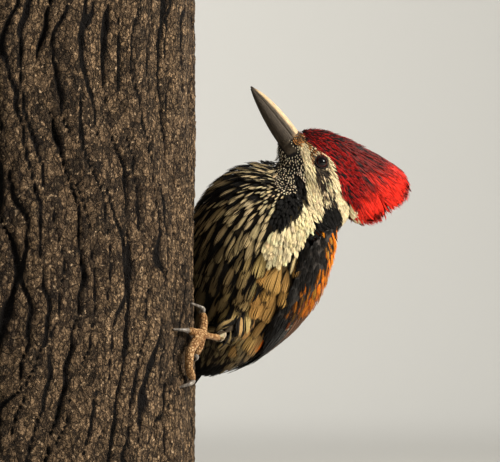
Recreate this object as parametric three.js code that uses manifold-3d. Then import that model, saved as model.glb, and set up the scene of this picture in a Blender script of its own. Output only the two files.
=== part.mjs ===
// A black-rumped flameback woodpecker, life size, clinging to a cut length of tree trunk
// that two short rods hold above a flat display base.
// Millimetres, +Z up. While it is being built the log's right-hand side is at x = 0, the
// floor at z = 0; the finished group is moved so that the origin is under its middle.

import * as THREE from 'three';
import { mergeVertices } from 'three/addons/utils/BufferGeometryUtils.js';
import Module from 'manifold-3d';

const wasm = await Module();
wasm.setup();

// ---- Driving dimensions -------------------------------------------------------------

const GAP = 0.3; // between pieces that touch
const RIGHT_ANGLE = Math.PI / 2;

const BASE_LENGTH = 230;
const BASE_WIDTH = 190;
const BASE_THICKNESS = 12;
const BASE_CORNER = 18;
const BASE_MIDDLE_X = -62;
const ROD_RADIUS = 6;
const ROD_LENGTH = 25;
const ROD_SPACING = 80;

const LOG_RADIUS = 85;
const LOG_LENGTH = 272;
const LOG_BOTTOM = BASE_THICKNESS + ROD_LENGTH;
const BARK_RIDGE = 1.1; // height of the bark's plates over their furrows
const LOG_WAVE = 1.4; // slow swellings of the trunk

const FACING = THREE.MathUtils.degToRad(45); // the breast's turn away from straight ahead
const WING_REST = 0.9; // from the body to the inner side of the folded wing
const BILL_LENGTH = 33.6;
const GAPE_HEIGHT = 1.5; // where the mandibles meet, above the head's axis
const HEAD_ROLL = THREE.MathUtils.degToRad(22);
const BILL_TILT = THREE.MathUtils.degToRad(53.6); // above level
const BILL_TURN = -0.12; // towards -Y
const BILL_BASE = new THREE.Vector3(46.5, 36, 228.5);

const EYE_RADIUS = 3.6;
const EYE_BACK = 16.8;
const EYE_SIDE = 10;
const EYE_HEIGHT = 3.4;

const RECTRIX_PAIRS = 4;
const TOE_RADIUS = 2.1;
const CLAW_RADIUS = 1.4;

// ---- Shared tools -------------------------------------------------------------------

// A smooth curve through the rows' values of one key, in steps of the rows' `at`.
function smooth(rows, key) {
  const slopes = rows.map((row, i) => {
    const before = rows[Math.max(i - 1, 0)];
    const after = rows[Math.min(i + 1, rows.length - 1)];
    return (after[key] - before[key]) / (after.at - before.at);
  });
  return (at) => {
    const last = rows.length - 2;
    let i = 0;
    while (i < last && at > rows[i + 1].at) i += 1;
    const span = rows[i + 1].at - rows[i].at;
    const t = THREE.MathUtils.clamp((at - rows[i].at) / span, 0, 1);
    const rise = rows[i + 1][key] - rows[i][key];
    const start = slopes[i] * span;
    const end = slopes[i + 1] * span;
    const bend = start + end - 2 * rise;
    return rows[i][key] + t * (start + t * (3 * rise - 2 * start - end + t * bend));
  };
}

function smoothAll(rows) {
  const curves = {};
  for (const key of Object.keys(rows[0])) curves[key] = smooth(rows, key);
  return curves;
}

// A closed skin over a row of rings, drawn in to a point at both ends.
function skinOf(rings, firstPole, lastPole) {
  const around = rings[0].length;
  const points = [firstPole, ...rings.flat(), lastPole];
  const faces = [];
  const corner = (ring, step) => 1 + ring * around + (step % around);
  for (let step = 0; step < around; step += 1) {
    faces.push(0, corner(0, step + 1), corner(0, step));
    for (let ring = 0; ring < rings.length - 1; ring += 1) {
      const a = corner(ring, step);
      const b = corner(ring, step + 1);
      const c = corner(ring + 1, step + 1);
      const d = corner(ring + 1, step);
      faces.push(a, b, c, a, c, d);
    }
    const end = rings.length - 1;
    faces.push(points.length - 1, corner(end, step), corner(end, step + 1));
  }
  return outward(points, faces);
}

// The geometry of these points and faces, turned over where it is inside out.
function outward(points, faces) {
  let volume = 0;
  for (let i = 0; i < faces.length; i += 3) {
    const [a, b, c] = [points[faces[i]], points[faces[i + 1]], points[faces[i + 2]]];
    volume += a.dot(new THREE.Vector3().crossVectors(b, c));
  }
  const index = volume < 0 ? faces.toReversed() : faces;
  const geometry = new THREE.BufferGeometry().setFromPoints(points);
  geometry.setIndex(index);
  return geometry;
}

function solid(geometry) {
  const bare = geometry.clone();
  bare.deleteAttribute('normal');
  bare.deleteAttribute('uv');
  const merged = mergeVertices(bare, 1e-4);
  return new wasm.Manifold(
    new wasm.Mesh({
      numProp: 3,
      vertProperties: new Float32Array(merged.attributes.position.array),
      triVerts: new Uint32Array(merged.index.array),
    }),
  );
}

// The largest of the bodies that a cut leaves.
function mainBody(piece) {
  return piece.decompose().sort((a, b) => b.volume() - a.volume())[0];
}

function geometryOf(piece) {
  const mesh = piece.getMesh();
  const geometry = new THREE.BufferGeometry();
  geometry.setAttribute('position', new THREE.BufferAttribute(mesh.vertProperties, 3));
  geometry.setIndex(new THREE.BufferAttribute(mesh.triVerts, 1));
  return geometry;
}

// The frame of a section: the way it runs, its side and its upper direction.
function sectionFrame(forward, upHint) {
  const ahead = forward.clone().normalize();
  const side = new THREE.Vector3().crossVectors(upHint, ahead).normalize();
  const up = new THREE.Vector3().crossVectors(ahead, side);
  return { ahead, side, up };
}

// A round tube through a curve's points, its radius a function of 0..1, with domed ends.
function limb(curve, radius, around, steps, upHint) {
  const rings = [];
  for (let i = 0; i <= steps; i += 1) {
    const t = i / steps;
    const centre = curve.getPoint(t);
    const { side, up } = sectionFrame(curve.getTangent(t), upHint);
    const ring = [];
    for (let j = 0; j < around; j += 1) {
      const angle = (j / around) * 2 * Math.PI;
      ring.push(
        centre
          .clone()
          .addScaledVector(side, radius(t) * Math.cos(angle))
          .addScaledVector(up, radius(t) * Math.sin(angle)),
      );
    }
    rings.push(ring);
  }
  const dome = 0.7;
  const first = curve.getPoint(0).addScaledVector(curve.getTangent(0), -dome * radius(0));
  const last = curve.getPoint(1).addScaledVector(curve.getTangent(1), dome * radius(1));
  return skinOf(rings, first, last);
}

const group = new THREE.Group();

function addPiece(name, geometry, material) {
  const mesh = new THREE.Mesh(geometry, material);
  mesh.name = name;
  group.add(mesh);
}

function finish(colour, roughness, metalness = 0) {
  return new THREE.MeshStandardMaterial({ color: colour, roughness, metalness });
}

// ---- The log ------------------------------------------------------------------------

// A straight cut length of trunk; its bark runs in upright plates.
const LOG_AXIS_X = -LOG_RADIUS - LOG_WAVE;

function barkRadius(angle, z) {
  const plates = BARK_RIDGE * Math.sin(16 * angle + 1.8 * Math.sin(z / 34));
  const swelling = LOG_WAVE * Math.sin(3 * angle + z / 120);
  return LOG_RADIUS + plates + swelling;
}

function onLog(angle, z, lift) {
  const radius = barkRadius(angle, z) + lift;
  return new THREE.Vector3(
    LOG_AXIS_X + radius * Math.cos(angle),
    radius * Math.sin(angle),
    z,
  );
}

function logGeometry(extra) {
  const around = 56;
  const steps = 10;
  const rings = [];
  for (let i = 0; i <= steps; i += 1) {
    const z = LOG_BOTTOM + (LOG_LENGTH * i) / steps;
    const ring = [];
    for (let j = 0; j < around; j += 1) {
      ring.push(onLog((j / around) * 2 * Math.PI, z, extra));
    }
    rings.push(ring);
  }
  return skinOf(
    rings,
    new THREE.Vector3(LOG_AXIS_X, 0, LOG_BOTTOM),
    new THREE.Vector3(LOG_AXIS_X, 0, LOG_BOTTOM + LOG_LENGTH),
  );
}

// ---- The body and the line that wings and tail follow ----------------------------------

// From the dome of the breast down the back to the middle of the tail: centre and half
// sizes to the side, the back and the belly, against the way along in millimetres.
const bodyLine = smoothAll([
  { at: 0, x: 40, y: 41, z: 219, side: 34, back: 33, belly: 36 },
  { at: 37, x: 33, y: 46, z: 183, side: 35, back: 34, belly: 37 },
  { at: 59, x: 25, y: 54, z: 164, side: 35, back: 34, belly: 36 },
  { at: 80, x: 17, y: 59, z: 146, side: 29, back: 26.5, belly: 28 },
  { at: 100, x: 9.5, y: 61.5, z: 129, side: 21.2, back: 16, belly: 17.5 },
  { at: 112, x: 3, y: 63, z: 119, side: 14, back: 8, belly: 8 },
  { at: 135, x: -14, y: 69, z: 105, side: 12, back: 4.5, belly: 3 },
  { at: 165, x: -36, y: 77.5, z: 86, side: 12, back: 3.2, belly: 3 },
]);
const BREAST_DOME = 37;
const BODY_END = 118;
const RUMP_DOME = 16;
const dorsalHint = new THREE.Vector3(Math.sin(FACING), Math.cos(FACING), 0);

function bodyCentre(at) {
  return new THREE.Vector3(bodyLine.x(at), bodyLine.y(at), bodyLine.z(at));
}

function bodyFrame(at) {
  const run = bodyCentre(at + 0.5).sub(bodyCentre(Math.max(at - 0.5, 0)));
  const { side, up } = sectionFrame(run, dorsalHint);
  return { side: side.negate(), up };
}

// A point over the body: angle 0 is the bird's left, a right angle its back.
function onBody(at, angle, lift, shrink = 1) {
  const { side, up } = bodyFrame(at);
  const upward = Math.sin(angle);
  const height = upward > 0 ? bodyLine.back(at) : bodyLine.belly(at);
  return bodyCentre(at)
    .addScaledVector(side, (bodyLine.side(at) * shrink + lift) * Math.cos(angle))
    .addScaledVector(up, (height * shrink + lift) * upward);
}

function torsoGeometry(extra) {
  const around = 26;
  const rings = [];
  const stops = [1.5, 5, 10, 17, 26, 37, 48, 59, 70, 81, 91, 100, 107, 113, 116.5];
  for (const at of stops) {
    const fromTop = Math.min(at / BREAST_DOME, 1);
    const fromEnd = Math.min((BODY_END - at) / RUMP_DOME, 1);
    const shrink = Math.sqrt((1 - (1 - fromTop) ** 2) * (1 - (1 - fromEnd) ** 2));
    const ring = [];
    for (let j = 0; j < around; j += 1) {
      ring.push(onBody(at, (j / around) * 2 * Math.PI, extra, shrink));
    }
    rings.push(ring);
  }
  return skinOf(rings, bodyCentre(0), bodyCentre(BODY_END));
}

// ---- The head ------------------------------------------------------------------------

const headAhead = new THREE.Vector3(-Math.cos(BILL_TILT), BILL_TURN, Math.sin(BILL_TILT));
const levelUp = new THREE.Vector3(Math.sin(BILL_TILT), 0, Math.cos(BILL_TILT));
const headFrame = sectionFrame(headAhead, levelUp);
headFrame.side.applyAxisAngle(headFrame.ahead, HEAD_ROLL);
headFrame.up.applyAxisAngle(headFrame.ahead, HEAD_ROLL);

// A point of the head: back from the bill's base, out to the bird's left, and up.
function onHead(back, left, up) {
  return BILL_BASE.clone()
    .addScaledVector(headFrame.ahead, -back)
    .addScaledVector(headFrame.side, left)
    .addScaledVector(headFrame.up, up);
}

const skull = smoothAll([
  { at: -3.5, half: 4.6, crown: 7.2, throat: -4.6 },
  { at: 2, half: 7.2, crown: 10.4, throat: -8.6 },
  { at: 8, half: 10.2, crown: 13.8, throat: -11.8 },
  { at: 17, half: 12.4, crown: 16.4, throat: -14.6 },
  { at: 26, half: 13.4, crown: 16.6, throat: -16 },
  { at: 34, half: 11.6, crown: 13, throat: -13.5 },
  { at: 40, half: 6.5, crown: 7, throat: -7 },
]);

function headGeometry(extra) {
  const around = 20;
  const rings = [];
  for (const back of [-3.5, -1, 2, 5, 8.5, 12.5, 17, 22, 27, 32, 36.5, 40]) {
    const middle = (skull.crown(back) + skull.throat(back)) / 2;
    const tall = (skull.crown(back) - skull.throat(back)) / 2 + extra;
    const ring = [];
    for (let j = 0; j < around; j += 1) {
      const angle = (j / around) * 2 * Math.PI;
      const out = (skull.half(back) + extra) * Math.cos(angle);
      ring.push(onHead(back, out, middle + tall * Math.sin(angle)));
    }
    rings.push(ring);
  }
  return skinOf(rings, onHead(-4.6 - extra, 0, 1.4), onHead(42 + extra, 0, 0));
}

// The raised crest: it springs from the crown and stands out behind in ragged points.
const crestLine = smoothAll([
  { at: -1, half: 3.4, top: 11.5, foot: 4 },
  { at: 4, half: 6.4, top: 18, foot: 6 },
  { at: 12, half: 9.4, top: 24, foot: 6 },
  { at: 22, half: 10.4, top: 30.2, foot: 4 },
  { at: 32, half: 10, top: 36, foot: -3 },
  { at: 43, half: 8.4, top: 40.8, foot: -3 },
  { at: 52, half: 5.6, top: 41, foot: 2 },
  { at: 58, half: 3.2, top: 36.5, foot: 10.5 },
  { at: 63, half: 1.6, top: 30, foot: 18 },
]);

function crestGeometry() {
  const around = 14;
  const rings = [];
  for (const back of [-1, 3, 8, 14, 21, 28, 35, 42, 48, 53, 58, 63]) {
    const middle = (crestLine.top(back) + crestLine.foot(back)) / 2;
    const tall = (crestLine.top(back) - crestLine.foot(back)) / 2;
    const ring = [];
    for (let j = 0; j < around; j += 1) {
      const angle = (j / around) * 2 * Math.PI;
      const out = crestLine.half(back) * Math.cos(angle);
      ring.push(onHead(back, out, middle + tall * Math.sin(angle)));
    }
    rings.push(ring);
  }
  return skinOf(rings, onHead(-2.5, 0, 7.5), onHead(64, 0, 24));
}

// Straight chisel bill: each mandible is an arch over the flat plane where they meet.
const billLine = smoothAll([
  { at: -8, half: 5.6, rise: 6, drop: 5.6 },
  { at: 0, half: 5.4, rise: 6, drop: 5.6 },
  { at: 9, half: 4.8, rise: 5.9, drop: 5.3 },
  { at: 18, half: 3.8, rise: 5.1, drop: 4.2 },
  { at: 26, half: 2.4, rise: 3.6, drop: 2.6 },
  { at: BILL_LENGTH, half: 0.9, rise: 0.9, drop: 0.8 },
]);

function mandible(sign) {
  const around = 10;
  const rings = [];
  for (const ahead of [-7, 0, 6, 12, 18, 24, 29, 32.4]) {
    const height = sign > 0 ? billLine.rise(ahead) : billLine.drop(ahead);
    const ring = [];
    for (let j = 0; j < around; j += 1) {
      const angle = (j / around) * 2 * Math.PI;
      const arch = Math.max(Math.sin(angle), 0);
      const up = GAPE_HEIGHT + sign * (GAP / 2 + height * arch);
      ring.push(onHead(-ahead, billLine.half(ahead) * Math.cos(angle), up));
    }
    rings.push(ring);
  }
  const rear = onHead(8, 0, GAPE_HEIGHT + sign * 2);
  const tip = onHead(-BILL_LENGTH, 0, GAPE_HEIGHT + sign * 0.4);
  return skinOf(rings, rear, tip);
}

function eyeBall(sign, extra) {
  const ball = new THREE.SphereGeometry(EYE_RADIUS + extra, 12, 8);
  const centre = onHead(EYE_BACK, sign * EYE_SIDE, EYE_HEIGHT);
  ball.translate(centre.x, centre.y, centre.z);
  return ball;
}

// ---- The neck -----------------------------------------------------------------------

const neckCurve = new THREE.CatmullRomCurve3([
  new THREE.Vector3(41, 45, 188),
  new THREE.Vector3(49, 42, 196),
  new THREE.Vector3(57, 39.5, 203),
  onHead(27, 0, 7),
]);
// Half sizes to the side and from throat to nape, from the breast up to the head.
const neckSize = smoothAll([
  { at: 0, side: 14, deep: 15 },
  { at: 0.35, side: 21, deep: 23 },
  { at: 0.7, side: 15, deep: 23.5 },
  { at: 1, side: 9, deep: 18 },
]);

function neckGeometry(extra) {
  const around = 20;
  const steps = 5;
  const rings = [];
  for (let i = 0; i <= steps; i += 1) {
    const t = i / steps;
    const { side, up } = sectionFrame(neckCurve.getTangent(t), headFrame.side);
    const ring = [];
    for (let j = 0; j < around; j += 1) {
      const angle = (j / around) * 2 * Math.PI;
      const point = neckCurve.getPoint(t);
      point.addScaledVector(side, (neckSize.deep(t) + extra) * Math.cos(angle));
      point.addScaledVector(up, (neckSize.side(t) + extra) * Math.sin(angle));
      ring.push(point);
    }
    rings.push(ring);
  }
  const below = neckCurve.getPoint(0).addScaledVector(neckCurve.getTangent(0), -7 - extra);
  const above = neckCurve.getPoint(1).addScaledVector(neckCurve.getTangent(1), 3 + extra);
  return skinOf(rings, below, above);
}

// ---- Wings and tail -------------------------------------------------------------------

// The edge of the folded wing towards the belly and towards the back, in degrees over the
// body from its side, and its thickness, from the bend of the wing to the tips.
const wingLine = smoothAll([
  { at: 25, low: 14, high: 34, thick: 2.4 },
  { at: 34, low: -6, high: 52, thick: 3.2 },
  { at: 48, low: -10, high: 68, thick: 3.8 },
  { at: 70, low: -7, high: 76, thick: 3.8 },
  { at: 88, low: 16, high: 81, thick: 3.2 },
  { at: 97, low: 30, high: 84, thick: 2.6 },
  { at: 106, low: 50, high: 85, thick: 2 },
  { at: 114, low: 68, high: 84, thick: 1.2 },
]);
const WING_START = 25;
const WING_END = 114;

function wingGeometry(sign) {
  const across = 5;
  const steps = 13;
  const rings = [];
  for (let i = 0; i <= steps; i += 1) {
    const at = WING_START + ((WING_END - WING_START) * i) / steps;
    const low = THREE.MathUtils.degToRad(wingLine.low(at));
    const high = THREE.MathUtils.degToRad(wingLine.high(at));
    const thick = wingLine.thick(at);
    const outer = [];
    const inner = [];
    for (let j = 0; j <= across; j += 1) {
      const share = j / across;
      const angle = low + (high - low) * share;
      const bulge = 0.4 + 0.6 * Math.sin(Math.PI * share) ** 0.7;
      const facing = sign > 0 ? angle : Math.PI - angle;
      outer.push(onBody(at, facing, WING_REST + thick * bulge));
      inner.push(onBody(at, facing, WING_REST));
    }
    rings.push([...outer, ...inner.toReversed()]);
  }
  const endPole = (ring) => {
    const sum = new THREE.Vector3();
    for (const point of ring) sum.add(point);
    return sum.divideScalar(ring.length);
  };
  return skinOf(rings, endPole(rings[0]), endPole(rings[steps]));
}

// The tail is a closed fan of stiff pointed feathers, bowed to press on the log.
const TAIL_ROOT = new THREE.Vector3(5, 62.5, 121);
const TAIL_TIP = onLog(THREE.MathUtils.degToRad(74), 64, 5);
const TAIL_BOW = 4;
const TAIL_BLADE_THICKNESS = 1.6;
const TAIL_BLADE_HALF = 5.2;
const tailMiddle = TAIL_ROOT.clone()
  .lerp(TAIL_TIP, 0.55)
  .addScaledVector(dorsalHint, TAIL_BOW);
const tailCurve = new THREE.CatmullRomCurve3([TAIL_ROOT, tailMiddle, TAIL_TIP]);

function tailBlade(place, sign) {
  const spread = sign * (1.1 + place * 2.7); // at the tip
  const level = -place * 0.4; // outer feathers lie under the inner ones
  const reach = 1 - 0.06 * place ** 1.5;
  const steps = 4;
  const rings = [];
  for (let i = 0; i <= steps; i += 1) {
    const share = i / steps;
    const t = share * reach;
    const centre = tailCurve.getPoint(t);
    const { side, up } = sectionFrame(tailCurve.getTangent(t), dorsalHint);
    const out = spread * (0.35 + 0.65 * share);
    const taper = share < 0.75 ? 1 : 1 - ((share - 0.75) / 0.25) * 0.72;
    const half = TAIL_BLADE_HALF * (0.8 + 0.2 * share) * taper;
    const thin = (TAIL_BLADE_THICKNESS / 2) * (1 - 0.35 * share);
    const ring = [];
    for (const [x, y] of [[1, 0], [0.6, 1], [-0.6, 1], [-1, 0], [-0.6, -1], [0.6, -1]]) {
      ring.push(
        centre
          .clone()
          .addScaledVector(side, out + x * half)
          .addScaledVector(up, level + y * thin),
      );
    }
    rings.push(ring);
  }
  const middle = (ring) => ring[0].clone().add(ring[3]).divideScalar(2);
  const tip = middle(rings[steps]).addScaledVector(tailCurve.getTangent(reach), 2);
  return skinOf(rings, middle(rings[0]).addScaledVector(dorsalHint, 0.2), tip);
}

// ---- Legs ---------------------------------------------------------------------------

// Each toe's way over the bark, as angle round the log in degrees and height, from the
// foot's joint to the claw, how high it stands off, and how far it bends aside (sway).
const feet = {
  left: {
    knee: new THREE.Vector3(24, 44, 141),
    heel: new THREE.Vector3(12, 4, 132),
    joint: { angle: -12, z: 134, lift: 5.6 },
    toes: [
      { end: { angle: -7.5, z: 144, lift: 4.6 }, claw: { angle: -11.5, z: 149.5 } },
      { end: { angle: -17.5, z: 136, lift: 3.2 }, claw: { angle: -24.5, z: 137 } },
      { end: { angle: -15.5, z: 112.5, lift: 3 }, claw: { angle: -21, z: 108.5 }, sway: -7 },
      { end: { angle: -13, z: 125, lift: 3.2 }, claw: { angle: -12.5, z: 120.5 } },
    ],
  },
  right: {
    knee: new THREE.Vector3(0, 69, 138),
    heel: new THREE.Vector3(-13, 89, 122),
    joint: { angle: 51, z: 128, lift: 5.6 },
    toes: [
      { end: { angle: 46, z: 144, lift: 3.2 }, claw: { angle: 44, z: 151 } },
      { end: { angle: 56, z: 145, lift: 3.2 }, claw: { angle: 58, z: 152 } },
      { end: { angle: 63, z: 121, lift: 3 }, claw: { angle: 67, z: 115 } },
      { end: { angle: 48, z: 121, lift: 3 }, claw: { angle: 47, z: 116.5 } },
    ],
  },
};

function place({ angle, z, lift }) {
  return onLog(THREE.MathUtils.degToRad(angle), z, lift);
}

// The toe rises a little over its knuckles on the way to its end.
function toeCurve(joint, { end, sway = 0 }) {
  const along = (share, arch) =>
    place({
      angle: joint.angle + (end.angle - joint.angle) * share + sway * Math.sin(Math.PI * share),
      z: joint.z + (end.z - joint.z) * share,
      lift: joint.lift + (end.lift - joint.lift) * share + arch,
    });
  return new THREE.CatmullRomCurve3([
    along(0, 0),
    along(0.35, 0.5),
    along(0.75, 0.7),
    along(1, 0),
  ]);
}

function toeRadius(t) {
  const knuckle = 0.22 * Math.sin(3 * Math.PI * t) ** 2;
  return TOE_RADIUS * (1 - 0.3 * t) + knuckle;
}

// A claw leaves its toe's end, arches over and hooks down on to the bark.
function clawGeometry(joint, toe) {
  const { end, claw } = toe;
  const run = toeCurve(joint, toe).getTangent(1);
  const middle = place({
    angle: (end.angle + claw.angle) / 2,
    z: (end.z + claw.z) / 2,
    lift: end.lift + 0.9,
  });
  const hook = new THREE.CatmullRomCurve3([
    place(end).addScaledVector(run, 1),
    middle,
    place({ ...claw, lift: -0.6 }),
  ]);
  return limb(hook, (t) => CLAW_RADIUS * (1 - 0.85 * t), 5, 5, new THREE.Vector3(1, 0, 0));
}

function thighGeometry(leg, extra) {
  const middle = leg.knee.clone().lerp(leg.heel, 0.5);
  const curve = new THREE.CatmullRomCurve3([leg.knee, middle, leg.heel]);
  const size = (t) => 10 - 7.2 * t ** 1.2 + extra;
  return limb(curve, size, 12, 5, new THREE.Vector3(0, 0, 1));
}

function tarsusGeometry(leg, extra) {
  const curve = new THREE.LineCurve3(leg.heel, place(leg.joint));
  const size = (t) => 2.1 - 0.5 * Math.sin(Math.PI * t) + extra;
  return limb(curve, size, 7, 3, new THREE.Vector3(0, 0, 1));
}

// ---- The stand ------------------------------------------------------------------------

function baseGeometry() {
  const outline = new THREE.Shape();
  const x = BASE_LENGTH / 2;
  const y = BASE_WIDTH / 2;
  const r = BASE_CORNER;
  outline.moveTo(-x + r, -y);
  outline.lineTo(x - r, -y);
  outline.absarc(x - r, -y + r, r, -RIGHT_ANGLE, 0, false);
  outline.lineTo(x, y - r);
  outline.absarc(x - r, y - r, r, 0, RIGHT_ANGLE, false);
  outline.lineTo(-x + r, y);
  outline.absarc(-x + r, y - r, r, RIGHT_ANGLE, Math.PI, false);
  outline.lineTo(-x, -y + r);
  outline.absarc(-x + r, -y + r, r, Math.PI, 3 * RIGHT_ANGLE, false);
  const plate = new THREE.ExtrudeGeometry(outline, {
    depth: BASE_THICKNESS,
    bevelEnabled: false,
    curveSegments: 5,
  });
  plate.translate(BASE_MIDDLE_X, 0, 0);
  return plate;
}

function rodGeometry(side) {
  const rod = new THREE.CylinderGeometry(ROD_RADIUS, ROD_RADIUS, ROD_LENGTH - 2 * GAP, 14);
  rod.rotateX(RIGHT_ANGLE);
  rod.translate(LOG_AXIS_X, (side * ROD_SPACING) / 2, BASE_THICKNESS + ROD_LENGTH / 2);
  return rod;
}

// ---- Putting it together --------------------------------------------------------------

const feather = finish(0x1c1814, 0.85);
const hornColour = finish(0x5f564e, 0.5);
const legSkin = finish(0xa98a62, 0.75);

const headSolid = solid(headGeometry(0));
const headRoom = solid(headGeometry(GAP));
const neckSolid = solid(neckGeometry(0)).subtract(headRoom);
const neckRoom = solid(neckGeometry(GAP));
const torsoRoom = solid(torsoGeometry(GAP));
const logRoom = solid(logGeometry(GAP));
const torsoSolid = mainBody(solid(torsoGeometry(0)).subtract(neckRoom).subtract(headRoom));

let skullSolid = headSolid;
for (const sign of [1, -1]) skullSolid = skullSolid.subtract(solid(eyeBall(sign, GAP)));
for (const sign of [1, -1]) skullSolid = skullSolid.subtract(solid(mandible(sign)));

addPiece('head', geometryOf(skullSolid), finish(0xe8d9b0, 0.85));
addPiece('neck', geometryOf(neckSolid), feather);
addPiece('torso', geometryOf(torsoSolid), feather);

const crestSolid = solid(crestGeometry()).subtract(headRoom).subtract(neckRoom);
addPiece('crest', geometryOf(crestSolid), finish(0xc8201a, 0.8));

addPiece('bill_upper', mandible(1), hornColour);
addPiece('bill_lower', mandible(-1), hornColour);
addPiece('eye_left', eyeBall(1, 0), finish(0x3a1210, 0.15));
addPiece('eye_right', eyeBall(-1, 0), finish(0x3a1210, 0.15));

const wingFinish = finish(0xd27a1a, 0.8);
const wingLeft = mainBody(solid(wingGeometry(1)).subtract(neckRoom));
const wingRight = mainBody(solid(wingGeometry(-1)).subtract(neckRoom));
addPiece('wing_left', geometryOf(wingLeft), wingFinish);
addPiece('wing_right', geometryOf(wingRight), wingFinish);

let tailSolid = solid(tailBlade(0, 1)).add(solid(tailBlade(0, -1)));
for (let pair = 1; pair < RECTRIX_PAIRS; pair += 1) {
  for (const sign of [1, -1]) tailSolid = tailSolid.add(solid(tailBlade(pair, sign)));
}
tailSolid = tailSolid.subtract(torsoRoom).subtract(solid(wingGeometry(1)));
tailSolid = tailSolid.subtract(solid(wingGeometry(-1))).subtract(logRoom);
addPiece('tail', geometryOf(tailSolid), feather);

for (const [name, leg] of Object.entries(feet)) {
  const wingRoom = solid(wingGeometry(name === 'left' ? 1 : -1));
  let thigh = solid(thighGeometry(leg, 0)).subtract(torsoRoom).subtract(logRoom);
  thigh = mainBody(thigh.subtract(wingRoom));
  addPiece(`thigh_${name}`, geometryOf(thigh), feather);
  let foot = solid(new THREE.SphereGeometry(2.6, 8, 6).translate(...place(leg.joint)));
  for (const toe of leg.toes) {
    const curve = toeCurve(leg.joint, toe);
    foot = foot.add(solid(limb(curve, toeRadius, 6, 6, dorsalHint)));
  }
  const tarsus = solid(tarsusGeometry(leg, 0)).subtract(solid(thighGeometry(leg, GAP)));
  foot = foot.subtract(solid(tarsusGeometry(leg, GAP))).subtract(logRoom);
  addPiece(`tarsus_${name}`, geometryOf(tarsus), legSkin);
  addPiece(`foot_${name}`, geometryOf(foot), legSkin);
  leg.toes.forEach((toe, i) => {
    const claw = solid(clawGeometry(leg.joint, toe)).subtract(logRoom).subtract(foot);
    addPiece(`claw_${name}_${i + 1}`, geometryOf(claw), hornColour);
  });
}

addPiece('perch_log', logGeometry(0), finish(0x6b5a48, 0.95));
addPiece('stand_base', baseGeometry(), finish(0x2a2826, 0.5));
addPiece('stand_rod_1', rodGeometry(1), finish(0xb8bcc0, 0.3, 1));
addPiece('stand_rod_2', rodGeometry(-1), finish(0xb8bcc0, 0.3, 1));

const box = new THREE.Box3().setFromObject(group);
const middle = box.getCenter(new THREE.Vector3());
group.position.set(-middle.x, -middle.y, -box.min.z);

export default group;
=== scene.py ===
import itertools
import math
import bmesh
import bpy
import numpy as np
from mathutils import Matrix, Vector, noise
from mathutils.bvhtree import BVHTree


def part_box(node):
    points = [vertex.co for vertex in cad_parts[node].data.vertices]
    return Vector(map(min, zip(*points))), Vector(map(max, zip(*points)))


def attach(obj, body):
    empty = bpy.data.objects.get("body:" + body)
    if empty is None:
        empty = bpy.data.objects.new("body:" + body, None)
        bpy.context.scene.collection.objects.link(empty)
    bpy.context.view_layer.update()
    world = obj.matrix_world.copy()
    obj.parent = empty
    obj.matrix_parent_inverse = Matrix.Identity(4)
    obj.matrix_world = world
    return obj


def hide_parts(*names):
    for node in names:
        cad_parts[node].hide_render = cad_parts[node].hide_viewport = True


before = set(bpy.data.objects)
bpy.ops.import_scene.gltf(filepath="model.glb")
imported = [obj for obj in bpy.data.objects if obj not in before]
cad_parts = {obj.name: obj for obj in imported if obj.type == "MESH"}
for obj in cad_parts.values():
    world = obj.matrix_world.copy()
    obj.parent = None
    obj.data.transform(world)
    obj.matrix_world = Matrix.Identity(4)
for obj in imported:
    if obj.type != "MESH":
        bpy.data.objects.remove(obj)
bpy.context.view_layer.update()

# ---- Display base -------------------------------------------------------------------
# A flat slab of dense board with rounded corners and an eased upper edge, sprayed a
# satin charcoal. The two steel rods are screwed into it from below.

BASE_CORNER = 0.018
BASE_EASE = 0.0025
FOOT_CHAMFER = 0.0008
CORNER_STEPS = 8
MM = 0.001


def shade(red, green, blue):
    """A paint colour, its red, green and blue from 0 to 255, as the shader's linear numbers."""
    parts = [c / 255 for c in (red, green, blue)]
    return [c / 12.92 if c < 0.04045 else ((c + 0.055) / 1.055) ** 2.4 for c in parts] + [1.0]


def feed(tree, socket, source):
    """Links a socket to a source, or sets it where the source is a plain value."""
    if isinstance(source, bpy.types.NodeSocket):
        tree.links.new(source, socket)
    else:
        socket.default_value = source


def figure(tree, operation, *values, clamp=False):
    """The result of one sum on values or sockets."""
    made = tree.nodes.new("ShaderNodeMath")
    made.operation = operation
    made.use_clamp = clamp
    for socket, value in zip(made.inputs, values):
        feed(tree, socket, value)
    return made.outputs[0]


def ramp(tree, value, low, high, start=0.0, end=1.0):
    """A value eased from start to end as another goes from low to high."""
    made = tree.nodes.new("ShaderNodeMapRange")
    made.interpolation_type = "SMOOTHSTEP"
    for socket, source in zip(made.inputs, (value, low, high, start, end)):
        feed(tree, socket, source)
    return made.outputs[0]


def mixed(tree, share, first, second, kind="MIX"):
    """The first colour with a share of the second laid over it."""
    made = tree.nodes.new("ShaderNodeMix")
    made.data_type = "RGBA"
    made.blend_type = kind
    for socket, source in zip((made.inputs[0], made.inputs[6], made.inputs[7]), (share, first, second)):
        feed(tree, socket, source)
    return made.outputs[2]


def grain(tree, place, scale, detail=3.0, stretch=(1, 1, 1), roughness=0.55):
    """Cloudy noise over the object's own coordinates, stretched by a mapping."""
    mapping = tree.nodes.new("ShaderNodeMapping")
    mapping.inputs["Scale"].default_value = stretch
    tree.links.new(place, mapping.inputs["Vector"])
    made = tree.nodes.new("ShaderNodeTexNoise")
    made.inputs["Scale"].default_value = scale
    made.inputs["Detail"].default_value = detail
    made.inputs["Roughness"].default_value = roughness
    tree.links.new(mapping.outputs[0], made.inputs["Vector"])
    return made.outputs["Fac"]


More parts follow.
